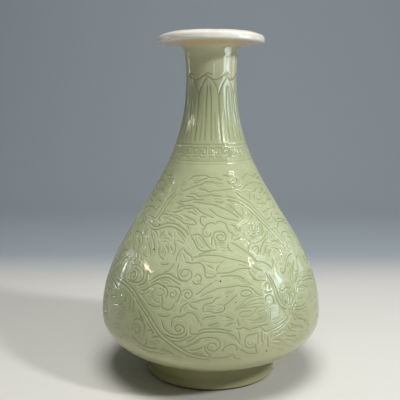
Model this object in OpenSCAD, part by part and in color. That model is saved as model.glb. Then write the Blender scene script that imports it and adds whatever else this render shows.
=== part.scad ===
// Pear-shaped celadon bottle vase (yuhuchunping), built as its potter builds it: thrown
// sections, the slip that lutes their stepped edges together, and the glaze that coats them.
// Millimetres, +Z up. The origin is on the ground, at the middle of the foot ring.

/* [Overall] */
// Height from the ground to the top of the lip
vase_h = 320; // [290:1:370]
// Diameter of the belly at its widest line
belly_d = 210; // [190:1:240]
// Height of the belly's widest line
belly_z = 60; // [52:1:75]
// Diameter of the neck at its narrowest line
neck_d = 47.4; // [42:0.2:60]
// Drop from the top of the lip to the neck's narrowest line
neck_drop = 45; // [35:1:60]
// Diameter of the mouth across the lip
mouth_d = 98.6; // [85:0.2:115]

/* [Curves of the wall] */
// Slope of the belly's underside where it leaves the foot, in degrees
under_slope = 17; // [10:1:28]
// Pull on the curve of the underside as it leaves the foot
under_pull = 20; // [8:1:26]
// Pull on the curve of the belly below its widest line
belly_pull_down = 22; // [14:1:30]
// Pull on the curve of the belly above its widest line
belly_pull_up = 75; // [50:1:85]
// Pull on the curve of the neck below its narrowest line
neck_pull_down = 94; // [70:1:105]
// Lean of the neck's wall under the lip, in degrees
throat_lean = 17.5; // [8:0.5:25]

/* [Foot] */
// Diameter of the foot ring at the ground
foot_d = 125.5; // [110:0.5:140]
// Height of the foot ring's outer wall
foot_h = 20; // [15:0.5:26]
// How much the foot ring's outer wall widens on the way up
foot_flare = 0.4; // [0:0.1:2]
// Width of the foot ring's wall at the ground
foot_wall = 8.5; // [7:0.5:12]
// How much thicker the foot ring's wall is at the base than at the ground
foot_taper = 2.5; // [0:0.5:5]
// Bevel on the two ground edges of the foot ring
ground_bevel = 0.7; // [0.5:0.1:2]
// Fillet between the foot ring and the belly
foot_fillet = 3; // [1.5:0.5:5]
// Height of the foot ring's wiped edge, which has no glaze
bare_h = 2.2; // [2.1:0.1:4]
// Height of the recessed base inside the foot ring
recess_z = 13; // [9:0.5:15]
// Thickness of the floor at its middle
floor_t = 9; // [6:0.5:12]

/* [Lip] */
// Height of the lip's edge
lip_h = 8.7; // [6:0.1:12]
// Rise of the lip's underside from the neck to the edge
lip_rise = 2.2; // [0:0.1:4]
// Width of the soft bevel between the lip's edge and its top
lip_round = 7; // [4:0.5:9]
// Height of that soft bevel
lip_bevel = 2.4; // [1:0.1:4]
// Diameter of the neck where it meets the lip's underside
throat_d = 53.8; // [48:0.2:62]
// Fillet between the neck and the lip's underside
throat_fillet = 1.8; // [1.5:0.1:4]
// Radius of the clay at the lip's lower edge
lip_edge_r = 0.6; // [0.3:0.1:1]
// Pull on the curve of the lip's dished top
dish_pull = 12; // [6:1:16]

/* [Walls, coats and joints] */
// Thickness of the clay wall at the floor
wall_base = 7; // [5:0.1:9]
// Thickness of the clay wall at the lip
wall_neck = 4.5; // [3.6:0.1:6]
// Thickness of the glaze
glaze_t = 0.9; // [0.5:0.1:1.4]
// Thickness of the luting slip in each joint
slip_t = 0.8; // [0.4:0.1:1.2]
// Length of the step by which each section reaches down inside the one below
lap = 6; // [3:0.5:10]
// Length of the neck section from the top of the lip to its joint
neck_len = 114; // [90:1:130]

/* [Hidden] */
$fn = 128;

celadon = [0.74, 0.77, 0.60];
lip_white = [0.92, 0.91, 0.86];
clay = [0.80, 0.75, 0.66];
slip = [0.87, 0.83, 0.74];
burnt_clay = [0.62, 0.42, 0.28];

// Stations of the outer face, as [radius, height]
ground = [foot_d/2, 0];
foot_top = [foot_d/2 + foot_flare, foot_h];
belly = [belly_d/2, belly_z];
waist = [neck_d/2, vase_h - neck_drop];
throat = [throat_d/2, vase_h - lip_h - lip_rise];
lip_low = [mouth_d/2, vase_h - lip_h];
lip_shoulder = [mouth_d/2, vase_h - lip_bevel];
lip_top = [mouth_d/2 - lip_round, vase_h];

// Directions of the outer face at those stations
foot_dir = unit(foot_top - ground);
under_dir = [cos(under_slope), sin(under_slope)];
throat_dir = [sin(throat_lean), cos(throat_lean)];
lip_dir = unit(lip_low - throat);
up = [0, 1];
out = [1, 0];

// Where the rounded corners start and end
lip_corner = lip_edge_r + glaze_t;
foot_end = foot_top - foot_fillet*foot_dir;
under_start = foot_top + foot_fillet*under_dir;
neck_end = throat - throat_fillet*throat_dir;
lip_start = throat + throat_fillet*lip_dir;
lip_end = lip_low - lip_corner*lip_dir;
edge_start = lip_low + lip_corner*up;
edge_rise = vase_h - edge_start[1];
neck_rise = neck_end[1] - waist[1];
mouth_in = neck_end + (wall_neck + 2*glaze_t)*inward(throat_dir);
// How far a corner's handles reach towards its point, for a soft and for a crisp corner
round_k = 0.6;
crisp_k = 1;
// Handles of the neck's upper curve as shares of its rise
waist_pull = 0.4;
throat_pull = 0.3;

// The outer face as one chain of curves, from the ground over the lip into the mouth
FACE = [
    line(ground, foot_end),
    corner(foot_end, foot_top, under_start),
    [under_start, under_start + under_pull*under_dir, belly - belly_pull_down*up, belly],
    [belly, belly + belly_pull_up*up, waist - neck_pull_down*up, waist],
    [waist, waist + waist_pull*neck_rise*up, neck_end - throat_pull*neck_rise*throat_dir, neck_end],
    corner(neck_end, throat, lip_start),
    line(lip_start, lip_end),
    corner(lip_end, lip_low, edge_start),
    corner(edge_start, lip_shoulder, lip_top, crisp_k),
    [lip_top, lip_top - dish_pull*out, mouth_in + edge_rise*throat_dir, mouth_in],
];

// Places on the chain: the whole part of a place picks the curve
FOOT_JOINT = 1;
UNDER = 2;
BELLY_JOINT = 3;
WAIST = 4;
RIM_JOINT = 5;
LIP_EDGE = 8;
LIP_TOP = 9;
MOUTH = 10;
NECK_JOINT = BELLY_JOINT + share_at_height(FACE[BELLY_JOINT], vase_h - neck_len, 0, 1, 40);
BARE = bare_h/foot_end[1];
BEVEL = ground_bevel/foot_end[1];

// Runs of places along the outer face of each section
foot_run = [BARE, shift(FOOT_JOINT, -slip_t/2)];
lower_run = join([steps(shift(FOOT_JOINT, slip_t/2), UNDER, 8),
                  steps(UNDER, shift(BELLY_JOINT, -slip_t/2), 24)]);
upper_run = steps(shift(BELLY_JOINT, slip_t/2), shift(NECK_JOINT, -slip_t/2), 36);
neck_run = join([steps(shift(NECK_JOINT, slip_t/2), WAIST, 20),
                 steps(WAIST, shift(RIM_JOINT, -slip_t/2), 14)]);
rim_run = join([steps(shift(RIM_JOINT, slip_t/2), RIM_JOINT + 1, 8),
                steps(RIM_JOINT + 1, RIM_JOINT + 2, 1),
                steps(RIM_JOINT + 2, LIP_EDGE, 8)]);
lip_run = join([steps(LIP_EDGE, LIP_TOP, 14), steps(LIP_TOP, MOUTH, 18)]);

// Runs of places along the inner face of each section
lower_in = steps(UNDER, shift(BELLY_JOINT, -lap - slip_t/2), 22);
upper_in = join([steps(shift(BELLY_JOINT, slip_t/2 - lap), BELLY_JOINT, 3),
                 steps(BELLY_JOINT, shift(NECK_JOINT, -lap - slip_t/2), 34)]);
neck_in = join([steps(shift(NECK_JOINT, slip_t/2 - lap), WAIST, 22),
                steps(WAIST, shift(RIM_JOINT, -lap - slip_t/2), 12)]);
rim_in = steps(shift(RIM_JOINT, slip_t/2 - lap), RIM_JOINT, 3);

// Foot: the ring's socket takes the stub under the base, with slip between them
foot_in_r = foot_d/2 - glaze_t - foot_wall;
socket_r = foot_in_r - foot_taper;
stub_r = socket_r - slip_t;
ring_seat = inside(shift(FOOT_JOINT, -slip_t/2), glaze_t);
body_seat = inside(shift(FOOT_JOINT, slip_t/2), glaze_t);
floor_z = recess_z + floor_t;

function unit(v) = v/norm(v);
// Turns a direction of travel up the outer face towards the clay
function inward(v) = [-v[1], v[0]];
function line(a, b) = [a, a + (b - a)/3, b - (b - a)/3, b];
function corner(a, c, b, k = round_k) = [a, a + k*(c - a), b + k*(c - b), b];
function steps(a, b, n) = [for (i = [0:n]) a + (b - a)*i/n];
// Joins runs that share their end places
function join(runs) = [for (k = [0:len(runs) - 1]) for (i = [(k == 0 ? 0 : 1):len(runs[k]) - 1]) runs[k][i]];
function reversed(list) = [for (i = [len(list) - 1:-1:0]) list[i]];
function curve(c, t) = pow(1 - t, 3)*c[0] + 3*pow(1 - t, 2)*t*c[1] + 3*(1 - t)*t*t*c[2] + t*t*t*c[3];
function curve_dir(c, t) = 3*(pow(1 - t, 2)*(c[1] - c[0]) + 2*(1 - t)*t*(c[2] - c[1]) + t*t*(c[3] - c[2]));
function share_at_height(c, z, low, high, tries) =
    tries == 0 ? (low + high)/2
    : curve(c, (low + high)/2)[1] < z ? share_at_height(c, z, (low + high)/2, high, tries - 1)
    : share_at_height(c, z, low, (low + high)/2, tries - 1);
function piece_of(u) = min(floor(u), len(FACE) - 1);
function face(u) = curve(FACE[piece_of(u)], u - piece_of(u));
function face_dir(u) = curve_dir(FACE[piece_of(u)], u - piece_of(u));
// A point under the outer face, at a depth square to it
function inside(u, depth) = face(u) + depth*inward(unit(face_dir(u)));
// Moves a place along the chain by a length in millimetres
function shift(u, length) = u + length/norm(face_dir(u + sign(length)*0.0001));
function wall(u) = wall_base + (wall_neck - wall_base)*min(1, max(0, (u - UNDER)/(RIM_JOINT - UNDER)));
function clay_depth(u) = glaze_t + wall(u);
function coat_depth(u) = glaze_t + wall(u) + glaze_t;
function clay_out(run) = [for (u = run) inside(u, glaze_t)];
function clay_in(run) = [for (u = run) inside(u, clay_depth(u))];
function coat_in(run) = [for (u = run) inside(u, coat_depth(u))];
// The stepped edge of a joint, from the outer face to the inner one, on one side of the slip
function stepped_edge(u, gap) =
    let (mid = glaze_t + wall(u)/2 + gap, high = shift(u, gap), low = shift(u, gap - lap))
    [inside(high, glaze_t), inside(high, mid), inside(low, mid), inside(low, clay_depth(low))];
function edge_below(u) = stepped_edge(u, -slip_t/2);
function edge_above(u) = stepped_edge(u, slip_t/2);
// The dished floor, from the foot of the inner wall to the axis
function floor_curve(start, height) =
    let (k = start[0]/3)
    [for (t = steps(0, 1, 12)) curve([start, start - k*under_dir, [k, height], [0, height]], t)];
// Radius of the foot ring's inner wall
function foot_in(z) = socket_r + foot_taper*(recess_z - z)/(recess_z - ground_bevel);

module turned(outline) {
    rotate_extrude() polygon(outline);
}

module slip_ring(u) {
    color(slip) turned(concat(edge_below(u), reversed(edge_above(u))));
}

module foot_ring() {
    rim_out = inside(BEVEL, glaze_t);
    color(burnt_clay) turned(concat(
        [[foot_in_r + ground_bevel, 0], [rim_out[0] - ground_bevel, 0], rim_out],
        clay_out(foot_run),
        [[socket_r, ring_seat[1]], [socket_r, recess_z], [foot_in_r, ground_bevel]]));
}

module lower_body() {
    color(clay) turned(concat(
        [[0, recess_z], [stub_r, recess_z], [stub_r, body_seat[1]]],
        clay_out(lower_run),
        [for (i = [1:2]) edge_below(BELLY_JOINT)[i]],
        reversed(clay_in(lower_in)),
        [for (i = [1:12]) floor_curve(inside(UNDER, clay_depth(UNDER)), floor_z)[i]]));
}

module upper_body() {
    color(clay) turned(concat(
        clay_out(upper_run),
        [for (i = [1:2]) edge_below(NECK_JOINT)[i]],
        reversed(clay_in(upper_in)),
        [for (i = [2:-1:1]) edge_above(BELLY_JOINT)[i]]));
}

module neck() {
    color(clay) turned(concat(
        clay_out(neck_run),
        [for (i = [1:2]) edge_below(RIM_JOINT)[i]],
        reversed(clay_in(neck_in)),
        [for (i = [2:-1:1]) edge_above(NECK_JOINT)[i]]));
}

module mouth_rim() {
    color(clay) turned(concat(
        clay_out(join([rim_run, lip_run])),
        [for (i = [len(rim_in) - 2:-1:0]) clay_in(rim_in)[i]],
        [for (i = [2:-1:1]) edge_above(RIM_JOINT)[i]]));
}

module foot_slip_joint() {
    color(slip) turned([[stub_r, recess_z], [socket_r, recess_z], [socket_r, ring_seat[1]],
                        ring_seat, body_seat, [stub_r, body_seat[1]]]);
}

module belly_slip_joint() {
    slip_ring(BELLY_JOINT);
}

module neck_slip_joint() {
    slip_ring(NECK_JOINT);
}

module rim_slip_joint() {
    slip_ring(RIM_JOINT);
}

// Celadon over the outside, from the wiped foot to the lip's lower edge
module outer_glaze() {
    run = concat(foot_run, lower_run, upper_run, neck_run, rim_run);
    color(celadon) turned(concat([for (u = run) face(u)], reversed(clay_out(run))));
}

// Thin pale glaze over the lip's edge and its dished top
module lip_glaze() {
    color(lip_white) turned(concat([for (u = lip_run) face(u)], reversed(clay_out(lip_run))));
}

// Celadon down the inside, from the mouth to the floor
module inner_glaze() {
    run = concat(lower_in, upper_in, neck_in, rim_in);
    floor_clay = floor_curve(inside(UNDER, clay_depth(UNDER)), floor_z);
    floor_coat = floor_curve(inside(UNDER, coat_depth(UNDER)), floor_z + glaze_t);
    color(celadon) turned(concat(
        [for (i = [12:-1:1]) floor_clay[i]], clay_in(run),
        reversed(coat_in(run)), [for (i = [1:12]) floor_coat[i]]));
}

// Celadon on the recessed base and down the inside of the foot ring
module base_glaze() {
    low = recess_z - glaze_t;
    color(celadon) turned([
        [0, low], [foot_in(low) - glaze_t, low], [foot_in(bare_h) - glaze_t, bare_h],
        [foot_in(bare_h), bare_h], [socket_r, recess_z], [0, recess_z]]);
}

foot_ring();
lower_body();
upper_body();
neck();
mouth_rim();
foot_slip_joint();
belly_slip_joint();
neck_slip_joint();
rim_slip_joint();
outer_glaze();
lip_glaze();
inner_glaze();
base_glaze();
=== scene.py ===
"""Celadon bottle vase with a carved scroll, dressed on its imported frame.

Shapes are worked out in millimetres until a mesh is made. Materials, lamps and the camera are in metres.
"""
import math
import bpy
import numpy as np
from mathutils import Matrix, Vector, kdtree


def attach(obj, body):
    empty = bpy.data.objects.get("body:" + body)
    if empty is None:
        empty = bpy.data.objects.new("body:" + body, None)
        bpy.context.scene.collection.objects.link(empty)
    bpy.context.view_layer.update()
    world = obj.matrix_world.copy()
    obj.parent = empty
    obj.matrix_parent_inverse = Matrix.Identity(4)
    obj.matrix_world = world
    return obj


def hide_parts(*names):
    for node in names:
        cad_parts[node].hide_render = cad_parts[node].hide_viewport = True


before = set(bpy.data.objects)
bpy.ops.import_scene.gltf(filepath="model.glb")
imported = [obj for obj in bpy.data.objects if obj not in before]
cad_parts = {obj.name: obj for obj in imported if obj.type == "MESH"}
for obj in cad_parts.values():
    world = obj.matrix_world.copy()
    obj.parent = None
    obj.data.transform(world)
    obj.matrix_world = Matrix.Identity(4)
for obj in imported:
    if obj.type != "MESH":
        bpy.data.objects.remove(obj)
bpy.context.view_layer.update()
MM = 0.001
SEED = 7
NEAR = 1e-6

# Sizes of the vase, as in the part's source
VASE_H, BELLY_D, BELLY_Z = 320.0, 210.0, 60.0
NECK_D, NECK_DROP, MOUTH_D = 47.4, 45.0, 98.6
UNDER_SLOPE, UNDER_PULL = math.radians(17), 20.0
BELLY_PULL_DOWN, BELLY_PULL_UP, NECK_PULL_DOWN = 22.0, 75.0, 94.0
THROAT_LEAN, THROAT_D, THROAT_FILLET = math.radians(17.5), 53.8, 1.8
NECK_PULL_LOW, NECK_PULL_HIGH = 0.4, 0.3
FOOT_D, FOOT_H, FOOT_FLARE, FOOT_FILLET = 125.5, 20.0, 0.4, 3.0
FOOT_WALL, FOOT_TAPER, GROUND_BEVEL, BARE_H = 8.5, 2.5, 0.7, 2.2
RECESS_Z, FLOOR_T = 13.0, 9.0
LIP_H, LIP_RISE, LIP_ROUND, LIP_BEVEL, LIP_EDGE_R, DISH_PULL = 8.7, 2.2, 7.0, 2.4, 0.6, 12.0
WALL_BASE, WALL_NECK, GLAZE_T = 7.0, 4.5, 0.9
ROUND_K, CRISP_K = 0.6, 1.0

# The cutting tool: depth of a full cut, the widths of its two sides, and how far a cut eases at its ends
GROOVE_DEPTH, STEEP_SIDE, SLOPING_SIDE = 0.55, 0.42, 0.85
TAPER, END_PRESS = 1.6, 0.45
REACH, STRETCH = 2.6, 12
# Distance between samples of a stroke, on the body and on the neck
BODY_SAMPLE, NECK_SAMPLE = 0.4, 0.3
# Depth of each kind of stroke as a part of a full cut
LINE_CUT, FINE_CUT, CURL_CUT, SHORT_CUT, COMB_CUT, ECHO_CUT = 1.0, 0.72, 0.9, 0.68, 0.55, 0.36
STEM_HALF, TRACE_DROP = 1.6, 0.4
ECHO_GAP = 1.9
# Finer cuts keep this far from the others, run at least this long, and have this width
CUT_CLEAR, CUT_RUN, CUT_WIDE = 1.35, 3.5, 0.9
# The scroll goes round the vase this many times, and the later ones are bent by this much
REPEATS, BEND = 3, 0.7

# The scroll's lines as (degrees round the vase, length up the wall from the belly's widest line)
STEMS = {
    "lower_left_stem": [
        (-62, 42), (-55, 41.6), (-49.4, 40.2), (-43.5, 36.5), (-39.4, 32), (-34.1, 24.7), (-30.5, 19),
        (-27, 12), (-23.5, 5.5), (-18.8, 0), (-12.9, -6.4), (-8.2, -10), (0, -13),
    ],
    "arch_over_swirl": [(-33, 47), (-29.3, 52), (-25.8, 54.6), (-22.3, 55), (-18.8, 52.6), (-15.2, 50)],
    "upper_right_stem": [
        (13, 126.2), (15.5, 126.8), (18.6, 126), (21.8, 124.7), (25.6, 123), (28.6, 121.2), (31.5, 118.4),
        (34.5, 115.2), (36.8, 111.2), (39.5, 107), (42.2, 102), (45, 96.4), (48, 91), (50.4, 85.9),
        (52.4, 80.8), (54.6, 74.7), (56.5, 71),
    ],
    "left_wave": [
        (-65, 103.5), (-61.1, 100.2), (-57.6, 99.2), (-53.5, 99), (-49.4, 97), (-45.8, 95.2), (-42.3, 95.2),
        (-38.8, 96.6), (-34.8, 99), (-31, 100), (-26.5, 99.6), (-22.5, 97.8), (-19, 95), (-16, 90.8),
    ],
    "left_branch": [
        (-49.5, 101), (-45.8, 104.5), (-43.6, 110), (-42.6, 116), (-41, 122), (-38.4, 127), (-35, 130.5),
    ],
}
LINES = {
    "swirls": [
        [(-50, 44.5), (-45.5, 44), (-42.3, 44.6), (-40, 46), (-38.4, 49), (-38.4, 53), (-39.8, 57)],
        [(-40.5, 42.2), (-37.2, 45.2), (-35.8, 50), (-36.6, 56)],
        [(-36.4, 38.4), (-32.9, 42.5), (-30.5, 46.1), (-27.9, 47.5), (-25.2, 46.1), (-24.1, 44.3)],
        [(-23.6, 18.4), (-22.6, 13.8), (-21.1, 10.2), (-18.2, 7.5), (-14.6, 7.5), (-12.6, 9.7), (-12, 13.4),
         (-13.2, 15.6), (-14.9, 16.4), (-16.4, 14.7), (-16.7, 12), (-15.2, 10.2), (-13.9, 11.5),
         (-14.2, 13.3)],
        [(-22, 6.8), (-18, 4.8), (-14, 5), (-11.5, 7.5), (-10.7, 11)],
        [(-9.6, 15.8), (-9.5, 10.2), (-8.2, 8.8), (-6.4, 9.3), (-5, 10.6)],
        [(-40.2, 2.9), (-39.4, 10.2), (-38.5, 13.8), (-36.4, 15.2), (-34.1, 13.8), (-32.6, 10.2),
         (-32.9, 4.7), (-33.2, 1.1)],
        [(-8.2, 1.1), (-5.8, 4.3), (-3.5, 6.1), (-0.8, 6.7), (1.8, 6.1), (3.6, 3.8), (4.2, 0.6),
         (3.3, -2.5), (1.5, -4.5), (-0.5, -3.9), (-1.6, -1.6), (-1, 0.9), (0.6, 2), (2.1, 1.1),
         (2.5, -1.2)],
        [(-11.1, 2), (-8.2, 4.7), (-6.1, 7.9), (-4.1, 10.2), (-1.4, 11.1), (2.4, 11.1), (5.9, 10.6),
         (8.9, 9.3), (10.9, 6.5), (12.4, 2.9), (13.3, 0.2)],
        [(-5.8, 11.4), (-3.5, 13.3), (0, 14), (4.2, 13.6), (6.5, 12.6), (9.5, 11.2)],
        [(-2.9, 0.2), (-2.6, -4.4), (-1.1, -8), (0, -10.3)],
        [(0.6, -11.6), (3.6, -12.1), (7.1, -11.6), (9.5, -9.4), (10.2, -7.5)],
        [(10.2, -8.9), (11.2, -12.5), (14.2, -14.8)],
        [(5.6, -6.2), (5.9, -2.5), (8.3, 0.2), (10.6, 0.2), (11.8, -2.5), (11.8, -6.2)],
        [(22, 8.8), (19.5, 8), (16.8, 7), (15.6, 4), (15.7, 0), (16.6, -3), (18.5, -4.2), (20.3, -3),
         (20.8, -0.5)],
        [(28.6, 44.3), (29.2, 47.5), (30.6, 48.4), (31.2, 45.6), (30.4, 42.9)],
        [(-18.5, 67), (-18.6, 61), (-17.5, 56), (-16, 53), (-13, 52.3), (-10.8, 54.5), (-10, 58),
         (-11.3, 61.5), (-14, 62.5), (-16, 60.5), (-16.3, 57.5), (-14.8, 55.7), (-13, 56.7), (-12.8, 59)],
        [(-15, 68.3), (-10.5, 67.5), (-7, 68.3), (-4.9, 66.7), (-3.8, 63.5), (-3.4, 59.5), (-2.6, 55.9)],
        [(-8.8, 55.9), (-7, 58.3), (-5.5, 57.1), (-5.2, 53.9), (-6.4, 50.7), (-8.2, 50.7), (-9.5, 53.1)],
        [(1.2, 93.1), (3, 95.5), (6.5, 96.2), (8.9, 94.7), (9.8, 91.9), (9.2, 89.1), (7.4, 87.9),
         (5.4, 88.7), (3.9, 90.7), (4.2, 92.3), (5.9, 93.1), (7.7, 92.7), (8.3, 90.7)],
        [(1.2, 93.1), (0.4, 90.7), (0.1, 86.7), (0.4, 83.5)], [(2.7, 89.9), (2.4, 86.7), (3.3, 83.1)],
        [(4.2, 87.9), (6.5, 85.9), (9.5, 85.5)],
        [(26.2, 78.7), (27.7, 81.1), (30.1, 80.3), (29.8, 76.3), (27.7, 74.7)],
        [(-25.4, 47.2), (-23, 44.6), (-21.9, 40.5), (-22.8, 36.5)],
    ],
    "clouds": [
        [(-32.3, 29.5), (-29.4, 28.4), (-26.4, 28.2), (-24.5, 29.7)],
        [(-24.5, 29.7), (-23.2, 27.9), (-20.5, 27), (-18.5, 29.3), (-17.6, 33.8)],
        [(-17.6, 33.8), (-16.3, 35.2), (-15.5, 38.4), (-14.9, 42.9)],
        [(-22.9, 46.5), (-20, 46.7), (-17.6, 46.5), (-15.8, 45.2), (-14.9, 41.5)],
        [(-25.8, 22.5), (-23.5, 21.1), (-20.5, 22), (-19.1, 24)],
        [(-18, 20.5), (-16, 22.3), (-14, 22.6), (-12.5, 24), (-10.8, 26.2), (-9, 26.3), (-7.3, 25),
         (-6.2, 21.5), (-5.3, 18.5)],
        [(-17.5, 21.5), (-18.2, 19.7), (-18.5, 15.6), (-18.6, 12.9)],
        [(-18.2, 2), (-15.2, 1.5), (-12.9, 2.9), (-10.5, 5.6), (-8.2, 7.5)],
        [(-15, -2.6), (-12.4, -2.6), (-9.4, -0.7), (-7, 1.5), (-5, 2.9)],
        [(-24.7, 37.6), (-24.3, 33.5), (-24.5, 29.7)],
        [(-10, -4.8), (-7.4, -4.4), (-4.8, -2.8), (-3.4, -1.2)], [(-8.4, -7.6), (-5.6, -7.4), (-3.2, -8.6)],
    ],
    "leaves": [
        [(-14.5, 25.6), (-14.2, 29.3), (-12.9, 32), (-10.8, 34.7)],
        [(-10.8, 34.7), (-9.1, 31.1), (-6.4, 29.7)],
        [(-45, 33), (-44.1, 30.2), (-43.5, 26.5), (-42.8, 19.3)],
        [(-42.2, 32.5), (-41.4, 28), (-40.9, 24), (-41.1, 18.8)],
        [(-48, 31), (-47.7, 27), (-49.5, 23.5), (-52, 22)],
        [(-3, 27.5), (-1.1, 28.4), (1.8, 27), (4.8, 27.5), (6.5, 29.7), (6.6, 32.9), (8.3, 34.7),
         (10.6, 37.9), (13, 41.1)],
        [(-3.6, 28), (-3.4, 32), (-1.7, 34.3), (0.1, 34.7), (1.2, 36), (2.4, 38.4), (4.8, 39.7)],
        [(-5.2, 39.7), (-2.3, 42.5), (0.6, 44.7), (4.2, 47), (8.9, 47.6), (13.6, 48.4), (16.5, 47.5),
         (19.5, 46.7), (21.2, 44.7), (23.6, 40.2), (26.2, 38.4)],
        [(-7.6, 41.1), (-5.2, 43.8), (-2.9, 47.5), (-0.5, 50.2), (1.2, 51.3)],
        [(-9.9, 34.7), (-7, 35.6), (-2.9, 37.9), (1.2, 39.7)],
        [(14.8, 42.9), (17.1, 44.3), (19.5, 43.4), (20.1, 41.1), (17.7, 39.7), (15.1, 40.6), (14.8, 42.9)],
        [(-35.2, 109.9), (-31.7, 108.7), (-28.8, 107.4), (-25.2, 106.3), (-22.3, 104.3), (-19.9, 102.7),
         (-15.8, 102.1), (-11.1, 101.9)],
        [(-22, 110.4), (-19, 109), (-16.4, 107.9), (-13.5, 106.3), (-11.4, 104.3), (-10.8, 102.1)],
        [(-35, 110), (-40, 110), (-43.5, 107.9), (-43.8, 105.5), (-42.3, 103.1), (-41.1, 102.3)],
        [(-12.6, 91.5), (-11.1, 93), (-8.2, 93.2), (-5.8, 90.7), (-4.1, 87.1), (-1.7, 82.7), (0.1, 80.3)],
        [(-10.5, 72.7), (-7.6, 73.5), (-4.1, 74.7), (0.1, 74.9), (4.8, 74.3), (9.5, 72.3), (14.2, 70.3),
         (17.7, 68.7), (20.6, 67.1)],
        [(-7.6, 74.7), (-3.5, 77.2), (0, 78.2)],
        [(3, 59.5), (6.5, 59.5), (10.6, 59.9), (14.2, 61.9), (17.7, 62.7), (20.6, 62.3), (22.4, 61.5)],
        [(-3.2, 55.9), (0.1, 55.9), (2.4, 57.5), (3, 59.5)],
        [(4.8, 56.4), (8.9, 57.1), (13.6, 56.7), (16.5, 54.7), (17.7, 53.5)],
        [(20.6, 61.9), (21.5, 57.1), (23.6, 52.7), (24.8, 51.5)],
    ],
    "flowers": [
        [(21.2, -0.7), (20.9, -4.4), (21.5, -8), (21.8, -9.8)], [(22.1, 8.4), (21.9, 2.9), (22.1, -1.6)],
        [(24.2, 10.2), (23.8, 4.7), (24.2, -0.7)], [(26.8, 4.7), (27.2, -0.7), (27.4, -6.2)],
        [(30.4, 57.5), (31.8, 52), (32.7, 45.6), (33.3, 40.2), (34.2, 32), (35.6, 27.5), (38.3, 23.8),
         (39.8, 22.9)],
        [(32.4, 55.6), (34.2, 47.5), (35.1, 40.2), (35.9, 33.8), (37.7, 28.4), (39.5, 25.2)],
        [(39.8, 34.7), (39.5, 30.2), (40.4, 26.1)], [(45.1, 36.5), (45.1, 31.1), (45.4, 26.5)],
        [(48.3, 39.3), (48, 32.9), (47.1, 27.5), (44.8, 24.3), (43, 21.1)],
        [(45.9, 21.1), (49.5, 18.8), (53, 18.5), (55.4, 19.7)],
        [(45.4, 22.9), (48.3, 22), (51.8, 21.1), (55.1, 22)], [(48.9, 29.3), (51.2, 27.9), (54.8, 29.3)],
        [(51.2, 37.5), (54.8, 37.9), (57.7, 37), (60.1, 34.7), (63.6, 33.8)],
        [(57.1, 24.3), (60.1, 25.2), (63.6, 26.5)], [(42.4, 18.4), (44.2, 12.9), (45.9, 10.6)],
        [(44.2, 17.5), (47.1, 12), (50.7, 9.7), (53.6, 6.5), (55.4, 2.9), (57.1, 0.6)],
        [(40.7, 10.2), (43.6, 7.5), (47.7, 4.7), (51.2, 1.1)], [(38.9, 9.3), (41.2, 2.9)],
        [(27.4, 32.9), (28, 36.5), (30.1, 37.9), (31.8, 36.1), (32.1, 32), (30.6, 30.2)],
        [(21.8, 54.3), (23.6, 52), (25.1, 51.1), (30.1, 50.4)],
        [(20.6, 95.5), (21.2, 99.5), (23.6, 101.5), (26.5, 103.1), (28, 104.3)],
        [(23.3, 76.3), (23.6, 80.3), (24.8, 82.7), (26.5, 83.9)],
        [(23, 89.9), (24.8, 87.1), (27.7, 84.3), (31.8, 84.7), (35, 86), (38, 88), (40.3, 90.5)],
        [(26.5, 91.5), (28.3, 89.9), (31.8, 89.1)], [(22.8, 14.4), (24.4, 11), (25.7, 8.6), (27.6, 7.2)],
        [(27.4, 41.4), (29.5, 40.2), (31.9, 40.8)], [(36.8, 38.4), (37.8, 34), (38.7, 30), (39.8, 27)],
        [(42.2, 38), (42.7, 33), (42.5, 28.4)], [(51.6, 46.6), (50.3, 40), (49.7, 35), (49.4, 31.2)],
        [(36.8, 41.4), (39.2, 39.4), (41.8, 41.2), (44.2, 39.8), (46.6, 41.4)],
        [(29.2, 96.2), (32.3, 93.2), (36, 93), (38.9, 95.6), (39.6, 100), (38.7, 104.4), (36.6, 108.8),
         (34, 112.4)],
        [(28.2, 93.2), (32.6, 90.9), (37.3, 91.4), (40.5, 94.8)],
    ],
    "pods": [
        [(-34.1, 79.5), (-33.8, 76.3), (-32.3, 72.3), (-29.9, 69.9), (-27.9, 68.3)],
        [(-26.4, 73.9), (-26.7, 77.1), (-28.2, 80.3), (-29.4, 81.9)],
        [(-31.7, 80.3), (-31.1, 76.3), (-30.2, 72.3)], [(-29.4, 78.7), (-28.5, 74.7), (-28.5, 71.5)],
        [(-24.4, 87.5), (-23.2, 83.5), (-22.3, 79.5), (-22.6, 75.5), (-23.8, 73.9)],
        [(-29.4, 64.3), (-26.4, 64.3), (-23.8, 65.9)],
        [(-26.4, 57.1), (-23.5, 59.5), (-21.7, 63.5), (-20.5, 66.7)],
        [(-34.1, 94.7), (-35.2, 90.7), (-35.8, 87.5)], [(-30.5, 93.9), (-29.4, 91.5), (-25.8, 89.9)],
        [(-19.9, 68), (-20, 73), (-18.7, 78), (-17.2, 80.5)],
        [(-17.2, 80.5), (-15.3, 77), (-12.5, 74.5), (-11, 72), (-11, 69.3)],
        [(-26.5, 81.2), (-24.9, 79.6), (-23.7, 77)],
    ],
    "crown": [
        [(-18.2, 101.1), (-15.8, 98.7), (-14.1, 93.9), (-12.6, 89.9), (-11.1, 87.5), (-9.1, 82.7),
         (-7, 79.5), (-4.6, 78.3), (0.1, 79.1), (3.6, 79.5)],
        [(-3, 109.5), (-7.9, 109.9), (-8.2, 106.7), (-7.3, 103.1), (-4.4, 101.1), (-2.9, 102.7),
         (0.1, 104.3), (2.5, 103.3), (3.2, 102)],
        [(3.5, 102.8), (5.1, 105.1), (8.3, 104.7), (10.6, 102.7), (11.5, 99.5), (12.4, 95.9), (14.2, 94.7),
         (13.9, 91.5), (13, 88.7)],
        [(-3.5, 100.8), (-5.5, 98.5), (-6, 95), (-4.8, 92.2), (-2.5, 91.3), (-0.5, 92.8), (0, 95.3)],
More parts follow.
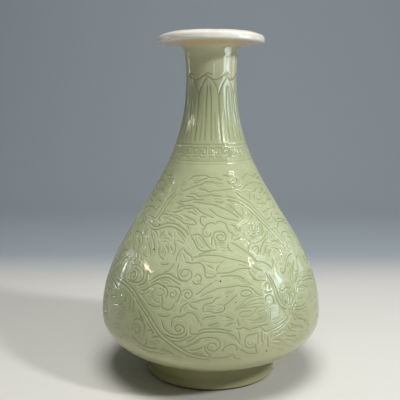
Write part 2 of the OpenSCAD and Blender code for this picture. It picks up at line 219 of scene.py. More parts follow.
        [(13.6, 101.9), (15.9, 101.5), (17.7, 99.5), (18.9, 96.3), (20.4, 95.1)],
        [(14.2, 88.3), (16.5, 88.3), (18.9, 89.5), (20.1, 90.7)],
    ],
    "sprays": [
        [(12.4, 85.9), (15.9, 83.1), (19.5, 79.5), (22.4, 75.5), (24.8, 71.5), (26.8, 67.9), (30.1, 66.7),
         (33, 64.3), (35.4, 60.3), (35.9, 57.1)],
        [(23.6, 64.2), (26.5, 60.8), (29.2, 58.6)],
        [(-24.6, 143.5), (-22.3, 145.6), (-19.4, 147.4), (-15.8, 148.2), (-11.1, 148.5), (-6.4, 148.6),
         (-2.3, 147.1), (0.6, 146.3), (5.1, 146.3), (9, 145), (13, 144.2)],
        [(12.4, 148.2), (15.9, 148.5), (20.1, 147.6), (24.8, 147.4), (27.7, 146.8)],
        [(15.9, 142.9), (18.9, 141.8), (21.5, 140.3), (25.4, 141.5), (28.3, 142.9), (29.2, 144.4),
         (28, 146.5)],
        [(-18.8, 141.5), (-15.2, 141.5), (-12.3, 143.2), (-9.4, 144.4), (-5.2, 145.6), (-2.3, 146.5)],
        [(-22.3, 136.2), (-17, 137.6), (-12.9, 139.1), (-9.4, 140), (-5.2, 142.4), (-1.1, 142.4),
         (2.4, 142.4), (5.4, 141.5), (8.9, 141.2), (13, 140.3)],
        [(-27.6, 132.6), (-25.8, 133.8), (-22.3, 135), (-19.9, 135)],
        [(-12.9, 135.6), (-9.4, 135.6), (-5.8, 135), (-2.9, 133.2), (0.1, 133.2), (3, 134.1), (6.5, 134.1),
         (11.8, 134.7), (16.5, 135), (21.2, 135.3), (23.6, 136.2)],
        [(-21.1, 130.3), (-17.6, 130.9), (-14.1, 130), (-11.1, 128.2), (-8.2, 128.8), (-4.1, 129.4),
         (0.6, 130.3), (4.8, 129.4), (8.9, 128.8), (11.2, 127.6)],
        [(-31.7, 121.5), (-27, 120.3), (-23.5, 119.7)],
        [(-16.4, 122.4), (-12.3, 122.9), (-8.2, 122.4), (-4.1, 121.9), (0.6, 121.2), (4.8, 120),
         (8.3, 118.2), (11.2, 116.8), (14.2, 114.7), (16.5, 112.9), (19.5, 110), (21.8, 107.9)],
        [(3, 123.5), (7.7, 123.2), (11.8, 123.2)],
        [(12.4, 121.5), (15.1, 120.3), (17.7, 117.4), (20.6, 113.8), (23.6, 109.7), (25.4, 107.1)],
        [(-24.1, 116.8), (-19.9, 116.5), (-15.8, 117.4), (-12.3, 117.4), (-8.8, 114.4), (-5, 112.1),
         (-1.7, 110.6), (2.4, 108.5)],
        [(-2, 117.4), (0.6, 115), (3, 112.6), (5.4, 110.6), (9.5, 108.5), (13.6, 107), (16.5, 106.5),
         (21, 104.5)],
        [(-19.9, 113.2), (-16.4, 113.5), (-13.5, 112.4), (-11.4, 110.6)],
        [(-32.3, 111.5), (-28.8, 112.4), (-24.6, 114.4), (-22.3, 115)],
        [(22.4, 132.6), (25.4, 130.9), (27.7, 128.5), (30.6, 126.2), (33.6, 123.8), (36.5, 120.9),
         (39.5, 116.8), (41.8, 111.9), (44.6, 106), (48, 99.6)],
        [(-30, 123.4), (-25, 123), (-20, 124.2), (-16, 125.4), (-11, 125.2), (-6, 125.6)],
        [(-30, 116.6), (-26, 118.3), (-20.5, 119.4), (-15, 120)],
        [(-24.4, 128), (-18.6, 127.8), (-14.4, 126.8)],
        [(22.6, 139.7), (24.4, 137.9), (27.4, 136.9), (31, 137.6), (35, 139.6)],
    ],
    "sides": [
        [(-59.9, 105.5), (-55.8, 105.6), (-51.7, 104.6), (-49.4, 105.5)],
        [(-65, 86.7), (-60.5, 87.9), (-56.4, 87.1), (-52.3, 84.5), (-49.9, 80), (-48.8, 74.7)],
        [(-54.7, 92.5), (-50.5, 87.5), (-47, 84), (-43.5, 80.5), (-40.3, 75.5), (-38.4, 70.5), (-37.4, 67)],
        [(-45.2, 90), (-41.7, 86), (-38.4, 80), (-36.4, 75.5), (-35.2, 73.1)],
        [(42.4, 82.7), (45.4, 82.9), (48.9, 81.9), (50.4, 80.3)],
        [(40.7, 77.9), (44.2, 76.3), (46.2, 74.7), (46.2, 69.9), (45.7, 66.7)],
        [(34.8, 76.3), (36.5, 79.5), (39.5, 80.3)],
        [(39.5, 69.1), (37.7, 65.1), (36.5, 61.9), (36.2, 58.7)],
        [(40.7, 58.7), (41.2, 55.5), (42.4, 53.9), (44.8, 55.1), (47.1, 60.3), (49.5, 63.5), (53, 66.7),
         (57.7, 67.5)],
        [(46.5, 45.9), (48.3, 50.7), (50.7, 55.5), (53.6, 58.7)],
        [(50.7, 43.9), (53, 46.5), (55.4, 50), (58.9, 55.7)], [(58.9, 60.3), (61.8, 62.7), (65.9, 63.5)],
        [(38, 143.8), (39.2, 146.5), (42.4, 147.6), (46.5, 148.4), (50.7, 147.6), (55.4, 145.9),
         (60.1, 145)],
        [(30.6, 134.7), (33.6, 135.6), (37.7, 137.6), (41.2, 138.8), (45.9, 139.4), (50.7, 139.8),
         (57.7, 139.6), (62, 139)],
        [(32.4, 132.4), (36.5, 133.2), (40.6, 132.4), (44.8, 131.5), (48.9, 131.8), (51.8, 133.8),
         (54.2, 133.8)],
        [(53, 129.7), (57.7, 129.7), (61.8, 131.8), (66, 133)],
        [(40.7, 130.9), (38.9, 128.5), (37.7, 125.6), (37.1, 123.8)],
        [(45.4, 129.1), (44.2, 126.8), (42.4, 123.2)], [(42.4, 116.7), (45.9, 116.2)],
        [(45.9, 111.3), (50.7, 110.9), (53.6, 112.6), (57.7, 112.9), (61.8, 112.6)],
        [(48, 104.4), (50.7, 103.8), (54.8, 105.6), (57.7, 107.9), (60.1, 109.7)],
        [(53.6, 92), (57.7, 96), (61.8, 98.5)],
        [(-62.3, 147.6), (-59.4, 145.9), (-55.8, 146.5), (-51.1, 146.5)],
        [(-52.9, 141.5), (-48.8, 140.6), (-45.2, 137.9)], [(-61.1, 132.1), (-57.6, 131.8), (-53, 130)],
        [(48.6, 46.4), (50.6, 52), (53, 56.4), (56.4, 61)],
        [(-60, 142.5), (-54.6, 142.9), (-50, 143.6), (-46, 142.6)],
        [(-60, 137), (-54, 137.5), (-48.5, 135.8)], [(-58, 127.6), (-52, 127), (-47.4, 124.4)],
        [(-60, 120), (-54, 121), (-48, 119.5)], [(-60, 115), (-55, 113), (-49.6, 111.8)],
        [(-58, 83), (-53.4, 80), (-51.6, 75), (-51.4, 69)], [(-60, 78.6), (-57, 74), (-54, 71.4)],
        [(-50, 71.6), (-48.6, 66), (-49.6, 60.6)], [(-46.4, 70.6), (-44.6, 65.4), (-44.8, 60.4)],
        [(30.8, 74.5), (32.6, 79), (35.5, 83), (39.5, 87)], [(34, 73.6), (35.4, 76.8), (37.6, 78.4)],
        [(36.2, 70.4), (37.6, 74.4), (40.4, 76.6)], [(51.2, 97), (54, 90.4), (56.2, 83.4), (58, 76.4)],
        [(44, 120), (50, 119), (57, 117.8)], [(45.6, 124), (50.6, 123), (56.6, 124.6)],
    ],
    "ticks": [
        [(-31.7, 1.5), (-31.1, -1.6), (-31.7, -4.4), (-32.9, -5.7)],
        [(-28.2, 1.5), (-26.4, 2.9), (-23.8, 4)],
        [(-23.8, -6.6), (-21.1, -7.5), (-18.8, -9.4), (-17, -10.3)], [(12.4, 11.5), (13, 7.5), (13.3, 2.9)],
        [(11.2, 13.8), (13.3, 12.9), (15, 13.8), (17.7, 11.5), (18.6, 10.2)],
        [(18.3, 12), (21.8, 12.9), (25.4, 13.8), (27.7, 14)], [(-4.1, 21.1), (-1.7, 23.4), (2.4, 24.3)],
        [(6.8, 23.4), (8.9, 22.4), (10.6, 20.6)], [(6.2, 15.6), (8.3, 17), (10.1, 17.9)],
        [(30.6, -0.7), (33, -1.2), (35.4, -2.5)], [(38, 0.6), (40.1, -0.7), (42.4, -1.6), (45.4, -2.5)],
        [(10.4, 85.9), (10.4, 81.9), (11.8, 77.9)], [(-2.6, 66.7), (-0.5, 65.1), (1.2, 63.5)],
        [(4.5, 66.7), (3.3, 64.3), (2.7, 61.1)], [(-37.2, 22.5), (-35.4, 18), (-33, 14.2)],
        [(-31.4, 13.6), (-29, 9.6), (-26.8, 5.4)], [(-30.6, 6.6), (-29.2, 7.8), (-27.9, 6.6), (-28.6, 5)],
        [(-40.5, -0.8), (-37, -4), (-33.5, -7.4), (-29, -7.8), (-25.6, -6.6)],
        [(-35.5, -11), (-31, -12.4), (-26, -11.6), (-22.6, -12.4)],
        [(13.6, -3.6), (15.4, -6.8), (18, -9.4), (22.5, -10.2)], [(12, 22), (12.5, 18.4), (13, 15)],
        [(-1.6, 16.4), (1, 17.4), (3.4, 19)],
    ],
}
# Veins, hatching and the inner lines of swirls and flowers, cut less deep
FINE_LINES = {
    "swirls": [
        [(-28.8, 44.3), (-30.2, 39.7), (-29.2, 34.5), (-27.5, 32.3), (-24.8, 32)],
        [(17, 3), (17, 0), (18.3, -1.5), (19.6, -0.5), (19, 1.5)],
        [(-27.3, 43.2), (-25.3, 43.5), (-24, 41.5), (-24.6, 38.9), (-26.6, 38.2), (-28, 39.8)],
    ],
    "leaves": [
        [(-12.6, 27.5), (-12, 29.7), (-10.8, 31.1)], [(2.4, 33.8), (4.8, 33.4), (6.5, 32.9)],
        [(6.8, 42.5), (8.3, 43.8), (10.1, 44.7)],
        [(11.2, 29.3), (14.8, 32.9), (17.7, 37), (20.6, 38.4), (26.2, 38.4)],
        [(10.9, 27.5), (13.6, 29.7), (16.8, 29.7), (21.2, 29.7), (25.4, 28.8), (26.8, 29.3)],
        [(13, 24.3), (14.8, 22.9), (18.3, 22.9), (20.6, 25.2), (22.1, 27.9), (24.2, 28.8)],
        [(18.3, 16.5), (21.2, 17), (25.4, 17), (26.8, 22), (27.1, 24.3)],
        [(-38.8, 104.3), (-35.2, 105.5), (-31.7, 104.3), (-27, 103)],
        [(-7.3, 70), (-3.5, 69.6), (0.1, 68.7), (4.8, 68.7), (7.1, 69.9)],
        [(-38.2, 38.8), (-35, 40.8), (-32.6, 44)], [(-36.8, 35.6), (-34, 37.4), (-31.7, 40.2)],
        [(-34.8, 33), (-32.8, 31.6), (-31.6, 29.6)], [(13, 24.3), (14.3, 26.6), (17, 27), (20, 26.4)],
        [(17.4, 20.4), (19.6, 19.1), (22.2, 19.6), (25.4, 20.6)],
        [(12.4, 28.6), (16, 32), (19.5, 34.6), (24, 35.8), (26.4, 35)],
        [(14.4, 30.2), (18, 31.8), (22.5, 32.4), (26.4, 31.8)],
    ],
    "flowers": [
        [(25.9, 8.4), (30.1, 9.3), (34.8, 11.1), (38.3, 14.3), (40.4, 17.5), (41.2, 20.2)],
        [(30.1, 2.9), (33.6, 4.3), (37.1, 6.5), (40.1, 10.2)],
        [(26.5, 117.4), (26.2, 113.8), (25.4, 109.7)], [(29.5, 112.1), (28.3, 109.7)],
        [(31, 101.6), (30.4, 98.4), (32, 95.9), (35, 95), (37.4, 96.6), (37.9, 100), (36.8, 104),
         (34.6, 107.5), (32.5, 109.4)],
        [(31.2, 100.4), (32.5, 101.4), (33.8, 100.2), (33.2, 98.5), (31.9, 98.7)],
        [(31.4, 114), (30.8, 111), (29.6, 108.4)], [(33.2, 110.6), (32.4, 107.6), (31, 105.6)],
    ],
    "pods": [
        [(-18.2, 76.3), (-18.5, 71.5), (-17.9, 67.5)], [(-17, 76.3), (-15.8, 73.1), (-14.1, 69.1)],
    ],
    "crown": [
        [(-23.5, 93.9), (-20.5, 90.7), (-18.2, 87.9), (-17, 86.2)],
        [(-23.5, 87.1), (-20, 85.9), (-17, 84.3)], [(-3.5, 97.5), (-4, 95), (-2.8, 93.8), (-1.8, 94.8)],
        [(15, 91.3), (17.7, 91.8), (19.5, 93.2)],
    ],
    "sprays": [
        [(21.2, 142.4), (23.6, 143.8), (25.4, 145)],
    ],
}
# Curls as (degrees, length up the wall, radius, turns, starting angle)
CURLS = {
    "left_swirl": (-46, 50, 7.5, 2, 250),
    "cloud_curl": (-19.2, 40.5, 3.6, 1.3, 80),
    "side_curl": (-11.4, 41.2, 5, 1.6, 200),
    "low_curl": (-37.3, 6.3, 4.7, 1.5, 200),
}
# Short cuts between the main lines: veins, petal folds and small leaves, by part of the scroll
SHORT_CUTS = {
    "under_the_right_flower": [
        [(30, -0.8), (32.5, -0.7), (34.3, -2.3), (36.2, -5), (38.6, -7.5)],
        [(29.8, -3.5), (32.5, -5.2), (34.5, -7.5)], [(36, 2.8), (37.5, 1.6), (39, -1)],
        [(40.6, 4), (42.5, 2.3), (45, 1)], [(41, 7.2), (43.4, 5), (46, 3.6)],
        [(36.5, -4.2), (38.6, -3.2), (40.5, -5.5)], [(40, -4), (44, -8), (46, -11)],
        [(38, -8), (42, -12), (45, -15)], [(33, -10), (36, -12.5), (39, -15.5)],
        [(43, -3.5), (46, -6), (48, -9)], [(29.5, 7), (29, 4), (28.6, 1)],
        [(25.5, 6), (25.2, 3), (26, 0.5)], [(24, 1.5), (24.6, -1.5), (23.4, -5)],
        [(30.2, 12.6), (32.5, 13.2), (35, 14.3), (37, 16)], [(47, 6), (50, 3.4), (52.5, 2.6)],
        [(47, 0), (50, -2), (53, -2.6)], [(47.6, -5), (50.4, -8), (53, -9.4)],
    ],
    "right_flower": [
        [(41.3, 37), (41.5, 33), (41, 29.5), (40.8, 27)], [(43.2, 36), (43.4, 32), (42.8, 28.4)],
        [(45.2, 38), (45, 34), (44.5, 31)], [(43.6, 25.5), (45, 28), (46.5, 29)],
        [(44, 23.5), (46.5, 25), (49, 25.4)], [(41, 20.5), (41.6, 18), (41.5, 14.5)],
        [(42.5, 20.3), (44, 17), (45.5, 14.6)], [(43.5, 21), (46, 18.7), (49, 17.4)],
        [(35, 25.5), (37, 23.2), (38.5, 20.4), (38.2, 17.5), (36.6, 15.5)],
        [(40.6, 24.2), (41.6, 25.4), (43, 24.9), (43.3, 23.2), (42.2, 22), (40.9, 22.6), (40.6, 24.2)],
        [(21.5, 24.8), (24, 25.4), (26, 26.3)], [(22, 22.6), (24.5, 23.4)], [(22.3, 20.2), (25, 21.4)],
        [(19.8, 17.8), (22.5, 18.4), (25.4, 18.6)], [(27.2, 30.5), (28, 28), (29, 26)],
        [(30.5, 30.3), (33, 29.5), (34.5, 30.6)], [(15, 21.5), (17, 22.6), (19, 21.9)],
        [(46.5, 36), (47, 32.5), (46.6, 30)], [(48.4, 33.4), (49.4, 30), (48.8, 27.4)],
        [(49.5, 22), (52, 21.2), (54, 22)], [(47, 12.4), (49.6, 11), (52, 11.4)],
    ],
    "right_side": [
        [(24, 76), (24.8, 73.4), (26, 70.6), (27, 67.8)], [(26.5, 76.6), (28, 77.6), (29, 79)],
        [(32.4, 71.6), (33.6, 74.4), (35.4, 77)], [(35, 72.6), (36.6, 75), (38.8, 77)],
        [(36.2, 70), (37.2, 72.2), (38.6, 73.4)], [(39.4, 69.6), (39, 66.4), (38.2, 63.4), (38.4, 60.4)],
        [(41.2, 70.6), (42.4, 73), (44.4, 73.6)], [(41.6, 66.8), (43.6, 65.6), (45.4, 66)],
        [(42, 62.4), (43.4, 61), (45, 61.6)], [(41, 58.4), (42.4, 57), (44.4, 57.4)],
        [(46.6, 62), (48.4, 64.6), (50, 66)], [(47, 57), (48.6, 59.4), (50, 61.6)],
        [(22, 60.6), (23.6, 58.6), (25, 56)], [(24.6, 62), (26, 60.4), (28, 58.8)],
        [(25, 54.4), (27.4, 53.2), (29.6, 53)], [(17.6, 67), (19.4, 66.6), (21, 65.4)],
        [(15, 65.8), (17.4, 65.2), (20, 64)], [(15, 51), (18, 50.6), (21, 49)],
        [(16.6, 48.2), (19.6, 48.4), (22, 47)], [(14.4, 53), (17, 52.4), (19.6, 51.8)],
        [(50, 71), (52, 73.6), (54.6, 74.4)], [(49.6, 52), (52, 54), (54, 54.4)],
        [(51, 46.6), (53, 48.8), (55, 49)], [(51.6, 39.6), (53.4, 42), (56, 42.4)],
    ],
    "upper_right": [
        [(26, 109), (26.6, 111.6), (27.8, 113.6)], [(27.6, 108.8), (29, 111.6)],
        [(29.6, 107.6), (31.2, 110), (32, 113)], [(31.4, 106.8), (33, 108.6), (34.4, 111.4)],
        [(30, 105.6), (32.4, 106.2), (34, 107.8)], [(31, 103.6), (30.4, 101.4), (30.8, 99)],
        [(33.6, 104.4), (35, 102), (35.6, 99), (34.6, 96.6)], [(27, 96), (28.4, 98), (29, 101)],
        [(25, 92), (27, 93.6), (28.4, 96)], [(22, 95), (22.8, 92.4), (23.4, 89)],
        [(40.5, 95), (41.6, 92.4), (41, 89.6)], [(42.4, 97.6), (44, 95.6)],
        [(43.4, 91.6), (45.4, 92.6), (47, 91)], [(44, 88), (46, 87.4), (48, 88)],
        [(43, 85.4), (45, 86), (47, 85)], [(47, 106.4), (49, 107.2), (51.4, 106.6)],
        [(46, 109), (48.4, 108.2), (51, 109)], [(46.4, 103), (49, 102.4), (52, 103.4)],
        [(47, 98.6), (49.6, 99.4), (52, 98.6)], [(47.6, 94.4), (50, 93.4), (52.6, 94)],
        [(34, 84.6), (36, 83), (38.4, 83.6), (40, 82)], [(36.6, 81.4), (38.6, 82.4), (41, 81.6)],
        [(42, 80.6), (44, 79.4), (46, 80)], [(46, 81.4), (48.6, 80.6), (50.4, 79)],
        [(26, 88.6), (28, 87.6), (30, 88.2), (31.4, 89.6)],
    ],
    "middle_low": [
        [(-11, -0.6), (-9, 0.2), (-6.8, 1.9), (-4.6, 4)], [(-3.4, 2.4), (-1.8, 4), (0.4, 4.4)],
        [(1.2, 1.6), (2.4, 0.4), (2.2, -1.6)], [(-0.8, -1.6), (0, -2.6), (1.2, -2.4)],
        [(5.6, 4.6), (6.2, 1.6), (5.6, -1.2)], [(6.8, 9.6), (8.4, 8), (9.8, 5.6), (11, 3)],
        [(9.8, 7.8), (11.6, 5.4), (12.8, 2.6)], [(-11.6, -12.6), (-9, -12), (-7, -12.6)],
        [(-19, -13.4), (-16, -12.6), (-13.6, -13.4)], [(13.4, 0.5), (14.6, -1.8), (15.6, -4)],
        [(12.2, -2.6), (13.6, -5.6), (15.8, -7.6)], [(-2.6, 32.8), (0, 31.6), (2.6, 31.8)],
        [(-3, 30.6), (-0.6, 29.6), (2, 29.2)], [(2.4, 28.4), (4.4, 29.2), (5.6, 31.2)],
        [(-6.4, 36.4), (-3.6, 37), (-0.6, 38.2)], [(7, 41.5), (9.6, 42.6), (12, 45.2)],
        [(-14.5, 33), (-13.2, 35.4), (-11.4, 35)], [(-1.4, 16), (1.4, 15.2), (4.4, 16.4)],
        [(6.6, 19.5), (8.6, 20.2), (10.4, 19)], [(7.4, 17.4), (9.6, 18), (12, 17)],
        [(3, 24.4), (6, 24), (8.4, 22.8), (10.6, 20.5)], [(-5, 19), (-4.4, 17), (-5, 14.8)],
    ],
    "middle": [
        [(-13.2, 60.6), (-12, 58.4), (-12.4, 55.6)], [(-16.6, 62.6), (-17.4, 60), (-17.2, 57)],
        [(-4, 66), (-3, 62), (-2.4, 59.6), (0.4, 58.4), (2, 58.8)], [(-8, 53), (-6.6, 52), (-6, 54)],
        [(-7, 51), (-5.5, 49.6), (-4, 50)], [(11, 55.4), (13, 54.6), (15.6, 53.2)],
        [(1, 51.4), (3, 53), (4.6, 52)], [(-16.6, 52.6), (-14.4, 51.2), (-11.6, 50.4)],
        [(6, 79), (8, 78.2), (10, 78.8)], [(5.4, 82), (8, 80.8), (11, 81)],
        [(9.4, 80), (11.4, 78), (13.4, 77.2)], [(5, 66.2), (7, 69), (8.4, 70.4)],
        [(-10.4, 91), (-9.6, 88), (-8.4, 84.6), (-6.6, 82), (-4, 80.8)],
        [(-8.6, 90.8), (-6.4, 87.6), (-4.6, 84.4), (-2.4, 81.6)], [(5.6, 89.6), (7.4, 90), (8.4, 91.6)],
        [(1.6, 93.4), (1.8, 90.6), (1.4, 87.4)], [(4, 95), (6, 95.4), (8.2, 94.2)],
        [(-20.6, 105.5), (-17, 105), (-14, 106.2)], [(-20.6, 108), (-17.4, 107), (-14.6, 107.6)],
        [(-18, 98.4), (-16.4, 95.4), (-14.9, 92)], [(-20, 94), (-18, 91.2), (-16.6, 88.4)],
        [(16, 95.4), (15.4, 93), (16.6, 91.4)], [(15.2, 98.6), (16.8, 97), (17.6, 94.4)],
        [(3.4, 85.4), (5.6, 83.6), (8.6, 83)],
    ],
    "upper_middle": [
        [(-14, 114.6), (-12, 113.4), (-10, 111.6)], [(-16, 112.4), (-13.6, 110.8)],
        [(12, 112.2), (13.8, 110.4)], [(14.8, 113.8), (16.8, 112.2)],
        [(-22, 146.4), (-17, 147.2), (-12, 146.6)], [(-21, 143.4), (-16, 143), (-12, 143.6)],
        [(-6, 140.4), (-2, 141), (3, 140.6), (8, 139)], [(4, 138.4), (9, 137.6), (14, 138)],
        [(-12, 133.5), (-8, 134.2), (-5, 133)], [(0, 128.6), (4, 128.4), (8, 127)],
        [(2, 125.6), (6, 126), (10, 124.8)], [(6, 122.4), (9, 121.4), (11, 122)],
        [(16, 146.4), (19, 147), (22, 146.2)], [(16, 141.4), (18.4, 140.2), (20, 141)],
        [(25, 133.6), (28, 132.6), (31, 130.4)], [(23, 129.6), (26, 127.6), (28, 125.4)],
        [(14, 124.6), (17, 122.8), (20, 119.6)], [(15.4, 121.6), (18, 118.6), (20, 115.4)],
        [(14, 118.6), (16.6, 115.6), (18.6, 112.4)],
        [(11.6, 120), (13.4, 117.4), (15.8, 114.6), (17.4, 111.6)],
        [(-20, 119), (-16, 118.4), (-13, 118.9)], [(-16, 116.4), (-13.4, 115), (-11.4, 112.6)],
        [(-25, 110.6), (-22, 109.6), (-19, 109)],
    ],
    "upper_left": [
        [(-33, 139.6), (-30, 140.6), (-27, 140.2)], [(-34, 137), (-30, 138.4), (-26, 139)],
        [(-33, 134.4), (-29.6, 133), (-27.4, 131)], [(-34, 128), (-30, 129), (-26, 128.4)],
        [(-33, 120), (-29, 121.4), (-25.6, 120.4)], [(-33, 115.8), (-29, 115.2), (-25, 117)],
        [(-44, 108.5), (-41, 111), (-36, 112.3), (-31, 112.2), (-27, 113.4), (-23, 115)],
        [(-40, 107.5), (-37.5, 108.9), (-35, 107.9), (-32.5, 106.6)],
        [(-41.5, 105.5), (-38, 106.3), (-35, 106), (-31, 104.4), (-27, 103.3)],
        [(-36, 102.3), (-32, 101.8), (-27, 101.6), (-22, 100.5)],
        [(-30.5, 109.5), (-27, 108.6), (-24, 107.4), (-21.5, 105.4)],
        [(-46, 96.6), (-43.5, 98.2), (-41, 99.2)], [(-55.5, 94), (-52.5, 96.2), (-49.6, 95.4), (-46, 92.6)],
        [(-46.5, 93), (-45.6, 90.5), (-43, 87.5), (-40.5, 84)],
        [(-44, 92), (-41.5, 91.6), (-39.5, 89.8), (-38.6, 87.2)],
        [(-38.5, 92.6), (-36.8, 91.5), (-36.2, 88.5), (-37, 85.6)],
        [(-36.6, 84), (-35.4, 81.8), (-34.2, 79.6)], [(-34.5, 90.5), (-32.6, 89.2), (-30.5, 89.6)],
        [(-33.5, 86.2), (-31, 87.2), (-28.2, 86.4), (-26.4, 84.6)],
        [(-33, 83.5), (-30.6, 84.3), (-28.6, 83.4), (-27.6, 81.4)], [(-26.5, 93.6), (-25, 91.2), (-24, 88)],
        [(-25.5, 97), (-22.6, 93), (-19.6, 90)], [(-23.2, 95.6), (-20.5, 92.8), (-18.4, 90.6)],
        [(-24.6, 86.5), (-24.2, 84), (-22.8, 81.6)], [(-52, 113), (-48, 114.6), (-45, 113)],
        [(-40, 118), (-37, 120.4), (-34, 121)], [(-44, 122), (-41, 125), (-37, 126)],
        [(-42, 131), (-39, 133.6), (-35.6, 134)],
    ],
    "left_side": [
        [(-33.4, 80.5), (-33, 76.5), (-31.6, 73)], [(-30.6, 79), (-30, 75.4), (-29.4, 73)],
        [(-27.8, 80.6), (-26.6, 77.6), (-26.4, 75)],
        [(-43.5, 80.6), (-41.6, 77.5), (-39.8, 74.2), (-38.4, 70.6)],
        [(-45.6, 72), (-44, 69.5), (-41.4, 68.2), (-39, 67.6)], [(-47.5, 78.4), (-46.4, 76), (-45, 73)],
        [(-52.5, 66), (-51, 63.2), (-49, 61)], [(-54, 63.5), (-52.6, 60.8), (-50.6, 58.7)],
        [(-46, 66.5), (-44.4, 64), (-43.8, 61)], [(-50.5, 57.6), (-48, 58.9), (-45, 58.6), (-42.6, 57.2)],
        [(-27.5, 49.5), (-25, 51), (-22.4, 50.6), (-20.4, 48.4)], [(-26, 47.6), (-24, 48.6), (-22, 47.8)],
        [(-44.8, 38.6), (-43, 38.8), (-41.5, 37)], [(-38.5, 36.4), (-36.4, 35.2), (-34.6, 33)],
        [(-53, 30.4), (-50.6, 30.2)], [(-52, 21.6), (-49, 20.6), (-46, 20.6)],
        [(-49.6, 19), (-47, 18.2), (-44.6, 18.6)], [(-32.8, 35.6), (-31.2, 33.2), (-31.4, 31)],
        [(-30.6, 40.4), (-31.2, 37), (-30.2, 33.8)],
    ],
    "low_left": [
        [(-54, 11.5), (-51, 13.2), (-48, 14.2)], [(-50, 10), (-47.6, 12.4), (-45.6, 11.4)],
        [(-55, 5.4), (-52, 3.6), (-49, 3.8)], [(-51, -7.8), (-48.6, -6.4), (-47, -4.6)],
        [(-47, -1.4), (-44.6, -2.6), (-42.4, -5.6)], [(-41.6, 12), (-41, 9.4), (-41.8, 6.6)],
        [(-44, 7.5), (-42.6, 4.6), (-42.8, 1.6)], [(-39, 4.4), (-37.6, 2.2), (-35, 1.6)],
        [(-36.4, -0.4), (-34.4, -1.6), (-33, -3.6)],
        [(-28.4, 2.6), (-26.6, 3.4), (-24.6, 3.6), (-23.4, 2.6)], [(-27, -0.5), (-25, -0.2), (-23.6, -2)],
        [(-29.6, -3), (-27.4, -2.4), (-25.8, -4)], [(-33, -14.6), (-29.6, -14), (-26.4, -14.6)],
        [(-24.6, -9), (-22.4, -9.4), (-20.4, -10.6)], [(-54, -1), (-51.6, 0.4), (-49.4, -0.6)],
    ],
    "low_sides": [
        [(-58, 19.4), (-55, 20), (-52.6, 21)], [(-50, 16), (-47, 15.6), (-45.2, 13.6)],
        [(-56, 8), (-52, 9), (-48.6, 9)], [(-41.4, 24), (-40.6, 20.6), (-38.8, 19.2)],
        [(-35.4, 10.6), (-34.6, 6.6), (-35.2, 3)], [(-49, -2.8), (-46, -4.6), (-43.6, -7.6)],
        [(-53, -6.4), (-50.4, -8.6), (-47.6, -7.4)], [(-41, -3), (-38, -5.6), (-35.4, -9)],
        [(-38, -9), (-35, -10.4), (-32, -11)], [(-41, 31.2), (-37, 26.4), (-33, 21.6), (-30, 17.8)],
        [(30, 6.5), (34.5, 8.2), (38, 11.5), (40.4, 15.4)], [(41.6, 15), (42, 12.4), (43, 10.8)],
        [(44.4, 17.6), (47, 14.8), (51, 13.2)], [(51.6, 9.6), (52.2, 6), (53.6, 3)],
        [(36.8, 6.6), (38.6, 4.2), (40, 2)],
    ],
    "mid_sides": [
        [(-49, 67.5), (-47, 65), (-47.2, 61)], [(-44.5, 66.5), (-43.6, 63), (-44, 60.6)],
        [(-42.6, 55), (-40.6, 51), (-41.4, 47)], [(-37.6, 44), (-35.6, 46.4), (-34.6, 48)],
        [(-54.6, 61.6), (-53, 60.4), (-51.6, 61)], [(52, 51.4), (55, 51), (58, 50.2)],
        [(52.4, 48.4), (55, 47.8), (58.4, 47.4)], [(51.6, 45.6), (54.6, 45.6), (57.6, 45.4)],
        [(52, 41.8), (55, 41.4), (58, 41.6)], [(52.4, 36.4), (55.4, 35.6), (58.4, 33)],
        [(51.2, 33.6), (54, 33.2), (57, 31.4)], [(41, 79.6), (44, 79), (47, 77.4), (48.6, 74)],
        [(42.6, 75.8), (44.6, 75), (45.4, 72)], [(47.6, 79), (49.6, 76.4), (50.6, 73)],
        [(41.2, 69), (40.6, 66), (40.8, 62)], [(39.2, 64.6), (39, 61), (39.4, 57.6)],
        [(48, 64), (49.6, 66.4), (52, 68)], [(47.6, 57), (49.4, 59.6), (51.6, 61.4)],
        [(48.4, 56), (50.4, 58.4), (52.6, 60)], [(46.4, 49.6), (47.6, 52.6), (49.4, 55.4)],
        [(47.2, 46), (47.8, 42), (47, 38.6)], [(48.8, 45.4), (49, 41.6), (48.4, 37.4)],
        [(31.4, 56), (33.6, 48), (34.4, 40), (35.6, 33)], [(37, 38), (38.4, 34.6), (39, 31.4)],
        [(44.4, 38), (44.2, 35), (44, 32)], [(40.4, 37), (40.2, 34), (40.6, 31)],
    ],
    "right_bundle": [
        [(56.4, 88), (56.4, 82.7), (56.9, 77.1), (56, 71)], [(56.2, 62.2), (53.6, 57.6), (51.9, 54.2)],
        [(59.4, 60), (58, 57.6), (56.2, 54.2)], [(56.5, 104.3), (54.2, 101.4), (52, 98.2)],
        [(59.6, 104.2), (57.4, 101.2), (55, 98.1)], [(59.8, 99.6), (58.4, 96.4), (57.4, 93)],
        [(41, 92.7), (38.8, 88.7), (37.1, 86.2)], [(43.4, 94.6), (41.7, 89.7), (39.7, 85.7)],
    ],
    "left_bundle": [
        [(-47.8, 35), (-47.4, 30.7), (-47.8, 26.5), (-49.8, 22.9)],
        [(-53, 34.7), (-52.4, 30.4), (-50.7, 25.8)], [(-44.1, 28.5), (-43.2, 23.6), (-43.1, 18.3)],
        [(-54.2, 6), (-54.8, 1.1), (-53.3, -2.7)], [(-51.2, 6.4), (-51.3, 3), (-50.3, -0.2)],
        [(-47.8, 6), (-47.9, 1.9), (-46.8, -1.2)], [(-44.4, 8), (-44.4, 5), (-43.2, 2.4)],
    ],
}
